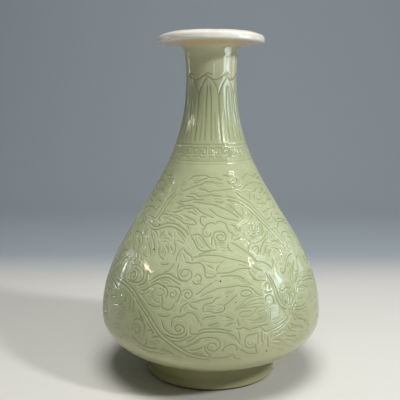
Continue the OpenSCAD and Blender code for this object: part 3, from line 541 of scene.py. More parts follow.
# Rows of combed cuts: the points of the first cut, the step to the next one, and how many there are
COMBS = [
    ([(31, 6), (34, 2.5), (37, -0.5)], (2.6, 0.5), 9),
    ([(33, -4), (36, -7.5), (39, -10.5)], (2.6, 0.6), 8),
    ([(47, 23.5), (51, 22.6), (56, 20.4)], (0.3, -2.2), 6),
    ([(51, 36.5), (54, 36), (57.5, 34.8)], (0.2, -2.1), 5),
    ([(50, 39), (53.5, 41.5), (58, 43)], (0.3, 2.2), 6),
    ([(31, 15), (35.5, 12.6), (40, 9)], (-0.8, -2), 4),
    ([(38, 111), (40, 109), (41, 106)], (2.3, -5), 8),
    ([(-59.5, 3), (-57.5, 9), (-56.8, 16)], (2.1, 0.7), 6),
    ([(-58, 22), (-56.5, 28), (-53, 33)], (2.2, 0.8), 4),
    ([(-59, 62), (-57, 66), (-55, 72)], (0.7, 2.9), 14),
]


def unit(v):
    """The direction of a vector."""
    return v / np.linalg.norm(v)


def line(a, b):
    """A straight stretch as a curve of four points."""
    return [a, a + (b - a) / 3, b - (b - a) / 3, b]


def corner(a, c, b, k=ROUND_K):
    """A rounded corner from a to b, drawn towards c."""
    return [a, a + k * (c - a), b + k * (c - b), b]


def bezier(c, t):
    """Points of a curve of four points."""
    t = np.asarray(t, float)[:, None]
    return (1 - t)**3 * c[0] + 3 * (1 - t)**2 * t * c[1] + 3 * (1 - t) * t * t * c[2] + t**3 * c[3]


def bezier_dir(c, t):
    """Directions along a curve of four points."""
    t = np.asarray(t, float)[:, None]
    return (1 - t)**2 * (c[1] - c[0]) + 2 * (1 - t) * t * (c[2] - c[1]) + t * t * (c[3] - c[2])


def face_chain():
    """The outer face as a chain of curves from the ground over the lip into the mouth."""
    up, out = np.array([0, 1.0]), np.array([1.0, 0])
    ground = np.array([FOOT_D / 2, 0])
    foot_top = np.array([FOOT_D / 2 + FOOT_FLARE, FOOT_H])
    belly = np.array([BELLY_D / 2, BELLY_Z])
    waist = np.array([NECK_D / 2, VASE_H - NECK_DROP])
    throat = np.array([THROAT_D / 2, VASE_H - LIP_H - LIP_RISE])
    lip_low = np.array([MOUTH_D / 2, VASE_H - LIP_H])
    lip_shoulder = np.array([MOUTH_D / 2, VASE_H - LIP_BEVEL])
    lip_top = np.array([MOUTH_D / 2 - LIP_ROUND, VASE_H])
    foot_dir = unit(foot_top - ground)
    under_dir = np.array([math.cos(UNDER_SLOPE), math.sin(UNDER_SLOPE)])
    throat_dir = np.array([math.sin(THROAT_LEAN), math.cos(THROAT_LEAN)])
    lip_dir = unit(lip_low - throat)
    lip_corner = LIP_EDGE_R + GLAZE_T
    foot_end = foot_top - FOOT_FILLET * foot_dir
    under_start = foot_top + FOOT_FILLET * under_dir
    neck_end = throat - THROAT_FILLET * throat_dir
    lip_start = throat + THROAT_FILLET * lip_dir
    lip_end = lip_low - lip_corner * lip_dir
    edge_start = lip_low + lip_corner * up
    edge_rise = VASE_H - edge_start[1]
    neck_rise = neck_end[1] - waist[1]
    neck_low = waist + NECK_PULL_LOW * neck_rise * up
    neck_high = neck_end - NECK_PULL_HIGH * neck_rise * throat_dir
    mouth_in = neck_end + (WALL_NECK + 2 * GLAZE_T) * np.array([-throat_dir[1], throat_dir[0]])
    return [
        line(ground, foot_end),
        corner(foot_end, foot_top, under_start),
        [under_start, under_start + UNDER_PULL * under_dir, belly - BELLY_PULL_DOWN * up, belly],
        [belly, belly + BELLY_PULL_UP * up, waist - NECK_PULL_DOWN * up, waist],
        [waist, neck_low, neck_high, neck_end],
        corner(neck_end, throat, lip_start),
        line(lip_start, lip_end),
        corner(lip_end, lip_low, edge_start),
        corner(edge_start, lip_shoulder, lip_top, CRISP_K),
        [lip_top, lip_top - DISH_PULL * out, mouth_in + edge_rise * throat_dir, mouth_in],
    ]


CHAIN = face_chain()
# Places on the chain where parts of the vase begin, and its end in the mouth
UNDER, BELLY, RIM, LIP_LOW, LIP_EDGE, DISH, MOUTH = 2, 3, 5, 7, 8, 9, 10
FOOT_END_Z = CHAIN[0][3][1]
RULER_STEPS = 20001


def face(places):
    """Points and outward normals of the outer face; the whole part of a place picks the curve."""
    places = np.asarray(places, float)
    pick = np.minimum(places.astype(int), len(CHAIN) - 1)
    points, normals = np.zeros((len(places), 2)), np.zeros((len(places), 2))
    for k in np.unique(pick):
        on = pick == k
        points[on] = bezier(CHAIN[k], places[on] - k)
        d = bezier_dir(CHAIN[k], places[on] - k)
        d /= np.linalg.norm(d, axis=1)[:, None]
        normals[on] = np.stack([d[:, 1], -d[:, 0]], 1)
    return points, normals


def ruler():
    """Length up the wall, zero at the belly's widest line, against place on the chain."""
    places = np.linspace(0, MOUTH - NEAR, RULER_STEPS)
    points, _ = face(places)
    run = np.concatenate([[0], np.cumsum(np.linalg.norm(np.diff(points, axis=0), axis=1))])
    return places, run - np.interp(BELLY, places, run), points[:, 0]


PLACES, LENGTHS, RADII = ruler()


def place_of(length):
    """The place on the chain at a length up the wall."""
    return np.interp(length, LENGTHS, PLACES)


def length_of(place):
    """The length up the wall at a place on the chain."""
    return np.interp(place, PLACES, LENGTHS)


def radius_of(length):
    """The radius of the vase at a length up the wall."""
    return np.interp(length, LENGTHS, RADII)


def angles(columns):
    """The angle of each column of a turned mesh."""
    return np.arange(columns) * 2 * math.pi / columns


def spline(points, step=BODY_SAMPLE):
    """A smooth line through (degrees, length) points, with about one sample every step millimetres."""
    p = np.array(points, float)
    scale = math.radians(1) * radius_of(p[:, 1].mean())
    if len(p) < 3:
        p = np.vstack([p[0], (p[0] + p[1]) / 2, p[1]])
    q = np.vstack([2 * p[0] - p[1], p, 2 * p[-1] - p[-2]])
    out = []
    for a, b, c, d in zip(q, q[1:], q[2:], q[3:]):
        n = max(2, int(np.hypot((c[0] - b[0]) * scale, c[1] - b[1]) / step))
        t = np.linspace(0, 1, n, endpoint=False)[:, None]
        bow, twist = 2 * a - 5 * b + 4 * c - d, 3 * b - a - 3 * c + d
        out.append(0.5 * (2 * b + (c - a) * t + bow * t**2 + twist * t**3))
    return np.vstack(out + [p[-1:]])


def beside(path, offset):
    """The path moved sideways by offset millimetres."""
    r = radius_of(path[:, 1])
    level = np.stack([np.radians(path[:, 0]) * r.mean(), path[:, 1]], 1)
    d = np.gradient(level, axis=0)
    d /= np.linalg.norm(d, axis=1)[:, None]
    move = offset * np.stack([-d[:, 1], d[:, 0]], 1)
    return np.stack([path[:, 0] + np.degrees(move[:, 0] / r), path[:, 1] + move[:, 1]], 1)


def curl(degrees, length, radius, turns, start):
    """A spiral that winds inwards from its radius."""
    samples_per_turn, shrink = 40, 0.85
    t = np.linspace(0, 1, int(samples_per_turn * turns))
    k = math.radians(start) - 2 * math.pi * turns * t
    reach = radius * (1 - shrink * t)
    across = np.degrees(reach * np.cos(k) / radius_of(length))
    return np.stack([degrees + across, length + reach * np.sin(k)], 1)


def flat(path):
    """A path on the unrolled wall, in millimetres."""
    return np.stack([np.radians(path[:, 0]) * radius_of(path[:, 1]), path[:, 1], 0 * path[:, 1]], 1)


def with_room(wanted, drawn, depth):
    """The stretches of the wanted cuts that keep clear of every drawn one."""
    points = np.vstack([flat(path) for path, _, _ in drawn])
    tree = kdtree.KDTree(len(points))
    for n, p in enumerate(points):
        tree.insert(p, n)
    tree.balance()
    made = []
    for path in wanted:
        room = np.array([tree.find(p)[2] > CUT_CLEAR for p in flat(path)])
        edges = np.flatnonzero(np.diff(np.concatenate([[0], room, [0]])))
        for start, stop in edges.reshape(-1, 2):
            part = path[start:stop]
            if len(part) > 3 and np.hypot(*np.diff(flat(part)[:, :2], axis=0).T).sum() > CUT_RUN:
                made.append((part, depth, CUT_WIDE))
    return made


def strokes(groups, depth):
    """Every stroke of the groups as a path with its depth."""
    return [(spline(points), depth) for group in groups.values() for points in group]


def comb_paths():
    """Every cut of the combed rows."""
    for points, step, count in COMBS:
        for n in range(count):
            yield spline([(a + n * step[0], s + n * step[1]) for a, s in points])


def echoes(drawn, offset):
    """Finer cuts that follow the drawn ones at an even distance."""
    return [beside(path, offset) for path, depth, _ in drawn if depth > ECHO_CUT]


def one_scroll():
    """One repeat of the scroll as (path, depth, width), with finer cuts where there is room for them."""
    drawn = []
    for points in STEMS.values():
        path = spline(points)
        drawn += [(beside(path, side * STEM_HALF), LINE_CUT) for side in (1, -1)]
    drawn += strokes(LINES, LINE_CUT) + strokes(FINE_LINES, FINE_CUT)
    drawn += [(curl(*values), CURL_CUT) for values in CURLS.values()]
    for path, _ in drawn:
        path[:, 1] -= TRACE_DROP
    drawn += strokes(SHORT_CUTS, SHORT_CUT)
    drawn = [(path, depth, 1.0) for path, depth in drawn]
    drawn += with_room(comb_paths(), drawn, COMB_CUT)
    for offset in (ECHO_GAP, -ECHO_GAP, 2 * ECHO_GAP, -2 * ECHO_GAP):
        drawn += with_room(echoes(drawn, offset), drawn, ECHO_CUT)
    return drawn


def scroll_paths():
    """The carved scroll round the body: the first repeat as drawn, the others varied as a hand would."""
    wave_run, wave_count, run_shift, turn_shift = 17, 5, 2.1, 1.3
    drawn = one_scroll()
    paths = []
    for k in range(REPEATS):
        bend = 0 if k == 0 else BEND
        for path, depth, wide in drawn:
            a = path[:, 0] + bend * np.sin(path[:, 1] / wave_run + run_shift * k)
            s = path[:, 1] + bend * np.sin(np.radians(path[:, 0]) * wave_count + turn_shift * k)
            paths.append((np.stack([a + k * 360 / REPEATS, s], 1), depth, wide))
    return paths


LEAVES, LEAF_AT, LEAF_LOW, LEAF_RISE = 8, -5.6, 179.4, 0.2
LEAF_WIDE, LEAF_LEAN, LEAF_SWAY = 1.6, 0.5, 18
SWAG_CUT, SWAG_WIDE, SWAG_LEAN = 1.0, 1.3, 0.4
# Half of a leaf as (lines from its middle outwards, depth), mirrored for the other half
LEAF = [
    ([(22.6, LEAF_LOW), (22.6, 200), (22.7, 214), (22.2, 221), (19.4, 226.5), (14.4, 231.6), (8, 235.6),
      (1.5, 238.2)], 0.78),
    ([(5.4, LEAF_LOW + 1), (5.2, 205), (4.6, 222), (2.6, 231.5)], 0.68),
    ([(13.4, LEAF_LOW + 1), (13.2, 195), (12.2, 207)], 0.46),
]
# The scalloped ring over one leaf: its swag and the hook at the leaf's tip
SWAG = [
    [(-7.5, 240.6), (-2, 238.4), (6, 236.6), (15, 236.0), (24, 237.2), (31, 239.2), (37.5, 240.6)],
    [(-8.2, 238.2), (-7.4, 240.8), (-3, 241.4), (3, 241.0), (7.4, 240.2)],
]


def leaf_paths():
    """Upright leaves round the neck, each with a midrib, and the scalloped ring above them."""
    rng = np.random.default_rng(SEED)
    paths = []
    for k in range(LEAVES):
        turn = LEAF_AT + k * 360 / LEAVES
        lean = rng.normal(0, LEAF_LEAN, 4)
        for n, (points, depth) in enumerate(LEAF):
            for sign in (-1, 1):
                p = np.array(points, float)
                p[:, 0] = turn + sign * p[:, 0] + lean[n] * np.sin((p[:, 1] - LEAF_LOW) / LEAF_SWAY)
                p[:, 1] += LEAF_RISE
                paths.append((spline(p, NECK_SAMPLE), depth, LEAF_WIDE))
        for points in SWAG:
            p = np.array(points, float) + [turn, LEAF_RISE + SWAG_LEAN * lean[3]]
            paths.append((spline(p, NECK_SAMPLE), SWAG_CUT, SWAG_WIDE))
    return paths


FRETS, FRET_AT, FRET_LOW, FRET_HIGH = 16, 5.3, 165.6, 174.0
FRET_CUT, FRET_WIDE, FRET_SHARE = 0.74, 1.1, 0.46
# One squared spiral, as parts of its width and height
FRET = [(1.0, 0), (0.12, 0), (0.12, 1), (0.92, 1), (0.92, 0.34), (0.4, 0.34), (0.4, 0.66), (0.66, 0.66)]
FRET_SAMPLES, FRET_SOFT = 16, 3
# Incised rings as (length up the wall, depth)
RINGS = [(158.2, 0.35), (161.6, 0.75), (163.4, 0.5), (177.0, 0.7)]
RING_SAMPLES, RING_WANDER = 900, 0.25


def softened(path, reach):
    """The path with its corners rounded by a running mean."""
    count = 2 * reach + 1
    padded = np.pad(path, ((reach, reach), (0, 0)), mode="edge")
    return sum(padded[n:n + len(path)] for n in range(count)) / count


def fret_paths():
    """Pairs of squared spirals that stand back to back, between incised rings."""
    rise = FRET_HIGH - FRET_LOW
    half = FRET_SHARE * 360 / FRETS
    share = np.linspace(0, 1, FRET_SAMPLES, endpoint=False)[:, None]
    paths = []
    for k in range(FRETS):
        middle = FRET_AT + k * 360 / FRETS
        for side in (-1, 1):
            p = np.array([(middle + side * half * x, FRET_LOW + rise * y) for x, y in FRET])
            legs = [a + (b - a) * share for a, b in zip(p, p[1:])]
            paths.append((softened(np.vstack(legs + [p[-1:]]), FRET_SOFT), FRET_CUT, FRET_WIDE))
    a = np.linspace(0, 360, RING_SAMPLES)
    for s, depth in RINGS:
        paths.append((np.stack([a, s + RING_WANDER * np.sin(np.radians(3 * a))], 1), depth, 1.0))
    return paths


def cut_stretch(depth, lengths, points, tangents, press, wide):
    """Cuts a stretch of a stroke into the grid of depths, steep on one side and sloping on the other."""
    columns = depth.shape[1]
    step = 360 / columns
    r = radius_of(points[:, 1].mean())
    pad = math.degrees(REACH / r)
    i0, i1 = np.searchsorted(lengths, [points[:, 1].min() - REACH, points[:, 1].max() + REACH])
    if i1 <= i0:
        return
    first, last = (points[:, 0].min() - pad) / step, (points[:, 0].max() + pad) / step
    j = np.arange(math.floor(first), math.ceil(last) + 1)
    dx = np.radians(j[None, :, None] * step - points[None, None, :, 0]) * r
    dy = lengths[i0:i1, None, None] - points[None, None, :, 1]
    near = (dx * dx + dy * dy).argmin(-1)
    shape = (i1 - i0, len(j), len(points))
    x, y = (np.take_along_axis(np.broadcast_to(d, shape), near[..., None], -1)[..., 0] for d in (dx, dy))
    side = tangents[near][..., 0] * y - tangents[near][..., 1] * x
    width = wide * np.where(side > 0, SLOPING_SIDE, STEEP_SIDE)
    cut = press[near] * np.exp(-(x * x + y * y) / (width * width))
    here = j % columns
    depth[i0:i1, here] = np.maximum(depth[i0:i1, here], cut)


def carve(lengths, columns, paths):
    """Depth of the carving, 0 to 1, on a grid of lengths by angles."""
    depth = np.zeros((len(lengths), columns))
    for path, full, wide in paths:
        r = radius_of(path[:, 1])
        moves = np.hypot(np.radians(np.diff(path[:, 0])) * r[:-1], np.diff(path[:, 1]))
        run = np.concatenate([[0], np.cumsum(moves)])
        ends = np.clip(np.minimum(run, run[-1] - run) / TAPER, 0, 1)
        press = full * (END_PRESS + (1 - END_PRESS) * ends * ends * (3 - 2 * ends))
        tangents = np.stack([np.radians(np.gradient(path[:, 0])) * r, np.gradient(path[:, 1])], 1)
        tangents /= np.linalg.norm(tangents, axis=1)[:, None] + 1e-9
        for k in range(0, len(path), STRETCH):
            part = slice(k, k + STRETCH + 1)
            cut_stretch(depth, lengths, path[part], tangents[part], press[part], wide)
    return depth


SHARP_ANGLE = math.radians(62)
UV_MARGIN = 0.02


def make_mesh(name, co, faces, uv, attributes=None):
    """A mesh object from vertices in millimetres, arrays of equal-sided faces, and corner UVs to match."""
    mesh = bpy.data.meshes.new(name)
    mesh.vertices.add(len(co))
    mesh.vertices.foreach_set("co", (co * MM).astype(np.float32).ravel())
    loops = np.concatenate([f.ravel() for f in faces])
    sides = np.concatenate([np.full(len(f), f.shape[1]) for f in faces])
    mesh.loops.add(len(loops))
    mesh.loops.foreach_set("vertex_index", loops.astype(np.int32))
    mesh.polygons.add(len(sides))
    mesh.polygons.foreach_set("loop_start", (np.cumsum(sides) - sides).astype(np.int32))
    mesh.update(calc_edges=True)
    layer = mesh.uv_layers.new(name="OFBake")
    layer.data.foreach_set("uv", uv.astype(np.float32).ravel())
    for key, values in (attributes or {}).items():
        layer = mesh.attributes.new(key, "FLOAT", "POINT")
        layer.data.foreach_set("value", values.astype(np.float32).ravel())
    mesh.polygons.foreach_set("use_smooth", np.ones(len(sides), bool))
    mesh.set_sharp_from_angle(angle=SHARP_ANGLE)
    mesh.validate()
    obj = bpy.data.objects.new(name, mesh)
    bpy.context.scene.collection.objects.link(obj)
    return obj


def turned(name, loop, columns, depth=None, normals=None, attributes=None):
    """A closed outline of [radius, height] turned about Z. Its inside lies to the left of its direction.

    Where the outline starts and ends on the axis, it closes there in two poles.
    """
    poles = loop[0][0] < NEAR
    rows = loop[1:-1] if poles else loop
    n = len(rows)
    a = angles(columns)
    r = np.repeat(rows[:, :1], columns, 1)
    z = np.repeat(rows[:, 1:], columns, 1)
    if depth is not None:
        m = len(depth)
        r[:m] -= normals[:, :1] * depth
        z[:m] -= normals[:, 1:] * depth
    co = np.stack([r * np.sin(a), -r * np.cos(a), z], -1).reshape(-1, 3)
    last = n - 1 if poles else n
    i, j = np.arange(last)[:, None], np.arange(columns)[None]
    i2, j2 = (i + 1) % n, (j + 1) % columns
    quads = [i * columns + j, i * columns + j2, i2 * columns + j2, i2 * columns + j]
    faces = [np.stack(quads, -1).reshape(-1, 4)]
    run = np.cumsum(np.linalg.norm(np.diff(np.vstack([rows, rows[:1]]), axis=0), axis=1))
    v = UV_MARGIN + (1 - 2 * UV_MARGIN) * np.concatenate([[0], run]) / run[-1]
    u0, u1, v0, v1 = (np.broadcast_to(part, (last, columns))
                      for part in (j / columns, (j + 1) / columns, v[:-1][i], v[1:][i]))
    uv = np.stack([u0, v0, u1, v0, u1, v1, u0, v1], -1).reshape(-1, 2)
    if poles:
        co = np.vstack([co, [[0, 0, loop[0][1]], [0, 0, loop[-1][1]]]])
        ring = np.arange(columns)
        step, high = (ring + 1) % columns, (n - 1) * columns
        pole_low, pole_high = np.full(columns, n * columns), np.full(columns, n * columns + 1)
        faces += [np.stack([pole_low, step, ring], -1), np.stack([high + ring, high + step, pole_high], -1)]
        left, mid, right = ring / columns, (ring + 0.5) / columns, (ring + 1) / columns
        base, top = np.full(columns, v[0]), np.full(columns, v[n - 1])
        fans = [[mid, 0 * base, right, base, left, base], [left, top, right, top, mid, 0 * top + 1]]
        uv = np.vstack([uv] + [np.stack(fan, -1).reshape(-1, 2) for fan in fans])
    return make_mesh(name, co, faces, uv, attributes)


# The carved coat: the stretch of wall that has fine rows, the columns, and the distances between rows
CARVE_LOW, CARVE_HIGH = -19.0, 246.0
COLUMNS = 1440
FOOT_ROWS, CARVE_ROWS, LIP_ROWS, BACK_ROWS = 1.3, 0.5, 0.9, 3.0
# How much the glaze's face waves, the runs of its two waves, and how far they fade at the coat's edges
WAVE, WAVE_SHORT, WAVE_LONG, WAVE_FADE = 0.05, 9, 31, 3
# Fades of the pale lip, of the painted shade under it and of the tan cove below it, in millimetres along the
# wall
LIP_FADE, COVE_LEAD, SHADE_FADE, COVE_FADE, COVE_RUN, COVE_END = 2.0, 1.5, 3, 2, 19, 6
# Iron specks in the glaze as (degrees, length up the wall, radius)
SPECKS = [
    (-37, 76, 0.9), (-30, -103, 0.9), (38, -108, 1.0), (27, -9.5, 0.8), (5, 52.7, 0.8), (-40, 99, 0.7),
    (-35, 17, 0.7), (8, 39.7, 0.55), (12, 34.8, 0.55),
]


def rows_between(low, high, step):
    """Even rows from low to high, about step apart."""
    return np.linspace(low, high, max(2, int(round((high - low) / step)) + 1))


def turn_from(a, at):
    """Angles from a place, between minus and plus half a turn."""
    return (a - at + math.pi) % (2 * math.pi) - math.pi


def speck_map(lengths, a):
    """How strongly each point of the grid lies in an iron speck."""
    speck = np.zeros((len(lengths), len(a)))
    for degrees, s, size in SPECKS:
        far = np.hypot(turn_from(a, math.radians(degrees)) * radius_of(s), lengths[:, None] - s)
        speck = np.maximum(speck, np.exp(-(far / size)**2))
    return speck


def carved_glaze():
    """The celadon coat from the bare foot edge to the lip, with the carving cut into its face."""
    bare = BARE_H / FOOT_END_Z
    low, high = float(length_of(bare)), float(length_of(LIP_EDGE))
    stretches = [
        (low, CARVE_LOW, FOOT_ROWS),
        (CARVE_LOW, CARVE_HIGH, CARVE_ROWS),
        (CARVE_HIGH, high, LIP_ROWS),
    ]
    lengths = np.concatenate([rows_between(*stretch)[:-1] for stretch in stretches] + [[high]])
    places, back_places = place_of(lengths), place_of(rows_between(low, high, BACK_ROWS))
    for ends in (places, back_places):
        ends[0], ends[-1] = bare, LIP_EDGE - NEAR
    points, normals = face(places)
    back, back_normals = face(back_places)
    back = (back - GLAZE_T * back_normals)[::-1]
    a, s = angles(COLUMNS), lengths[:, None]
    cut = carve(lengths, COLUMNS, scroll_paths() + leaf_paths() + fret_paths())
    edge = np.clip(np.minimum(s - s[0], s[-1] - s) / WAVE_FADE, 0, 1)
    wave = WAVE * np.sin(s / WAVE_SHORT + 2 * a) * np.sin(3 * a + s / WAVE_LONG)
    depth = GROOVE_DEPTH * cut + (wave + WAVE) * edge
    past = s - length_of(RIM + 0.5) + COVE_LEAD
    masks = {
        "pool": cut,
        "speck": speck_map(lengths, a),
        "lip": (s - length_of(LIP_LOW)) / LIP_FADE,
        # Painted shade on the lip's underside, where its overhang shades it
        "under_lip_shade": past / SHADE_FADE,
        "cove": np.minimum(past / COVE_FADE, (COVE_RUN + COVE_LEAD - past) / COVE_END),
    }
    rest = np.zeros((len(back), COLUMNS))
    attributes = {key: np.vstack([np.clip(mask, 0, 1) + 0 * cut, rest]) for key, mask in masks.items()}
    return turned("carved_glaze", np.vstack([points, back]), COLUMNS, depth, normals, attributes)


COAT_COLUMNS = 360
LIP_SAMPLES, DISH_SAMPLES = 26, 60
# How uneven the dipped lip is: its mean dip, its swells and ripples, and how many of those go round
LIP_DIP, LIP_SWELL, LIP_RIPPLE, SWELLS, RIPPLES = 0.12, 0.07, 0.05, 5, 11


def lip_coat():
    """The thin pale glaze over the lip, a little uneven as dipped glaze is."""
    edge = np.linspace(LIP_EDGE, DISH, LIP_SAMPLES)[:-1]
    places = np.concatenate([edge, np.linspace(DISH, MOUTH - NEAR, DISH_SAMPLES)])
    points, normals = face(places)
    a, t = angles(COAT_COLUMNS), np.linspace(0, 1, len(places))[:, None]
    dip = LIP_DIP + LIP_SWELL * np.sin(SWELLS * a + 1) + LIP_RIPPLE * np.sin(RIPPLES * a + 3 * t)
    loop = np.vstack([points, (points - GLAZE_T * normals)[::-1]])
    return turned("lip_coat", loop, COAT_COLUMNS, np.sin(math.pi * t) * dip, normals)


def wall_at(places):
    """The thickness of the clay wall at places on the chain."""
    return WALL_BASE + (WALL_NECK - WALL_BASE) * (places - UNDER) / (RIM - UNDER)


# Throwing rings: distance between rows, run and depth of a ring, and how far they ease at the ends
THROW_ROWS, THROW_RUN, THROW_DEPTH, THROW_EASE, THROW_END = 1.6, 2.3, 0.16, 12, 6
FLOOR_SAMPLES = 60


def inner_coat():
    """The glaze inside, with the soft rings that throwing leaves in the wall."""
    under_dir = np.array([math.cos(UNDER_SLOPE), math.sin(UNDER_SLOPE)])
    places = place_of(rows_between(float(length_of(UNDER)), float(length_of(RIM)), THROW_ROWS))
    places[0], places[-1] = UNDER, RIM
    points, normals = face(np.minimum(places, RIM - NEAR))
    sides = []
    for coat in (0, GLAZE_T):
        wall = points - (GLAZE_T + wall_at(places) + coat)[:, None] * normals
        if coat:
            s = length_of(places)
            ring = np.sin(s / THROW_RUN) * np.clip(np.minimum(s - s[0], s[-1] - s) / THROW_EASE, 0, 1) - 1
            wall += (THROW_DEPTH * ring * np.clip((s[-1] - s) / THROW_END, 0, 1))[:, None] * normals
        start, k, h = wall[0], wall[0][0] / 3, RECESS_Z + FLOOR_T + coat
        curve = [start, start - k * under_dir, np.array([k, h]), np.array([0, h])]
        floor = bezier(curve, np.linspace(0, 1, FLOOR_SAMPLES))
        floor[-1, 0] = 0
        sides.append(np.vstack([floor[::-1], wall[1:]]))
    return turned("inner_coat", np.vstack([sides[0], sides[1][::-1]]), COAT_COLUMNS)


def foot_in(z):
    """The inner radius of the foot ring at a height."""
    socket = FOOT_D / 2 - GLAZE_T - FOOT_WALL - FOOT_TAPER
    return socket + FOOT_TAPER * (RECESS_Z - z) / (RECESS_Z - GROUND_BEVEL)


BASE_SAMPLES, BASE_WALL_SAMPLES, BASE_BACK_SAMPLES, BASE_TOP_SAMPLES = 120, 14, 8, 30
# Trimming rings: depth, pitch, how much the pitch wanders and over what run, and how far they ease
TRIM_DEPTH, TRIM_PITCH, TRIM_WANDER, TRIM_RUN = 0.1, 1.9, 0.4, 5
TRIM_EDGE, TRIM_MIDDLE = 3, 4


def base_coat():
    """The glaze under the base, with faint turning rings left by the trimming tool."""
    low = RECESS_Z - GLAZE_T
    r = np.linspace(0, foot_in(low) - GLAZE_T, BASE_SAMPLES)
    ease = np.clip((r[-1] - r) / TRIM_EDGE, 0, 1) * np.clip(r / TRIM_MIDDLE, 0, 1)
    ring = TRIM_DEPTH * (1 + np.sin(r * TRIM_PITCH + TRIM_WANDER * np.sin(r / TRIM_RUN))) * ease
    under = np.stack([r, low + ring], 1)
    z = np.linspace(low, BARE_H, BASE_WALL_SAMPLES)[1:]
    wall = np.stack([foot_in(z) - GLAZE_T, z], 1)
    back_z = np.linspace(BARE_H, RECESS_Z, BASE_BACK_SAMPLES)
    back = np.stack([foot_in(back_z), back_z], 1)
    top_r = np.linspace(back[-1, 0], 0, BASE_TOP_SAMPLES)[1:]
    top = np.stack([top_r, np.full(len(top_r), RECESS_Z)], 1)
    return turned("base_coat", np.vstack([under, wall, back, top]), COAT_COLUMNS)


FOOT_COLUMNS, BARE_SAMPLES, FOOT_SAMPLES, BEVEL_SAMPLES = 720, 6, 14, 5
FILLET_END = 1.96
# The bare edge: depth of its grit, then the number, depth, rows and half widths of its chips
GRIT = 0.28
CHIPS, CHIP_DEPTH, CHIP_ROWS, CHIP_LEAST, CHIP_MOST = 9, 0.35, 2.5, 0.012, 0.03
CHIP_MARGIN = 3


def grit_map(rows):
    """Grit and chips of the bare ground edge, in millimetres of depth."""
    rng = np.random.default_rng(SEED)
    a = angles(FOOT_COLUMNS)
    grit = rng.random((rows, FOOT_COLUMNS))
    for axis in (0, 1):
        grit = (np.roll(grit, 1, axis) + 2 * grit + np.roll(grit, -1, axis)) / 4
    ease = np.sin(np.linspace(0, math.pi, rows))[:, None]
    depth = ease * (GRIT * grit)
    for _ in range(CHIPS):
        at = rng.uniform(0, 2 * math.pi)
        row = rng.integers(CHIP_MARGIN, rows - CHIP_MARGIN)
        size = rng.uniform(CHIP_LEAST, CHIP_MOST)
        off = np.arange(rows)[:, None] - row
        chip = np.exp(-(turn_from(a, at) / size)**2 - (off / CHIP_ROWS)**2)
        depth = np.maximum(depth, CHIP_DEPTH * chip * np.minimum(1, ease * 3))
    return depth


def bare_foot():
    """The turned foot ring. Its bare ground edge is gritty, with a few small chips."""
    top_z = max(v.co.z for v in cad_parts["foot_ring"].data.vertices) / MM
    bare_z = np.linspace(GROUND_BEVEL, BARE_H, BARE_SAMPLES)
    z = np.concatenate([bare_z, np.linspace(BARE_H, FOOT_END_Z, FOOT_SAMPLES)[1:]])
    points, normals = face(np.concatenate([z / FOOT_END_Z, np.linspace(1, FILLET_END, FOOT_SAMPLES)[1:]]))
    outer = points - GLAZE_T * normals
    outer = outer[outer[:, 1] < top_z]
    socket, inner_r = foot_in(RECESS_Z), foot_in(GROUND_BEVEL)
    ground_r = np.linspace(inner_r + GROUND_BEVEL, outer[0, 0] - GROUND_BEVEL, FOOT_SAMPLES)
    ground = np.stack([ground_r, 0 * ground_r], 1)
    share = np.linspace(0, 1, BEVEL_SAMPLES)[1:-1, None]
    bevel_out = ground[-1] + (outer[0] - ground[-1]) * share
    inside = np.array([[socket, top_z], [socket, RECESS_Z], [inner_r, GROUND_BEVEL]])
    bevel_in = inside[-1] + (ground[0] - inside[-1]) * share
    rough = np.vstack([bevel_in, ground, bevel_out, outer[:BARE_SAMPLES]])
    loop = np.vstack([rough, outer[BARE_SAMPLES:], [[outer[-1, 0], top_z]], inside])
    d = np.gradient(rough, axis=0)
    d /= np.linalg.norm(d, axis=1)[:, None]
    edge_normals = np.stack([d[:, 1], -d[:, 0]], 1)
    return turned("bare_foot", loop, FOOT_COLUMNS, grit_map(len(rough)), edge_normals)


NOISE_ROUGH = 0.55


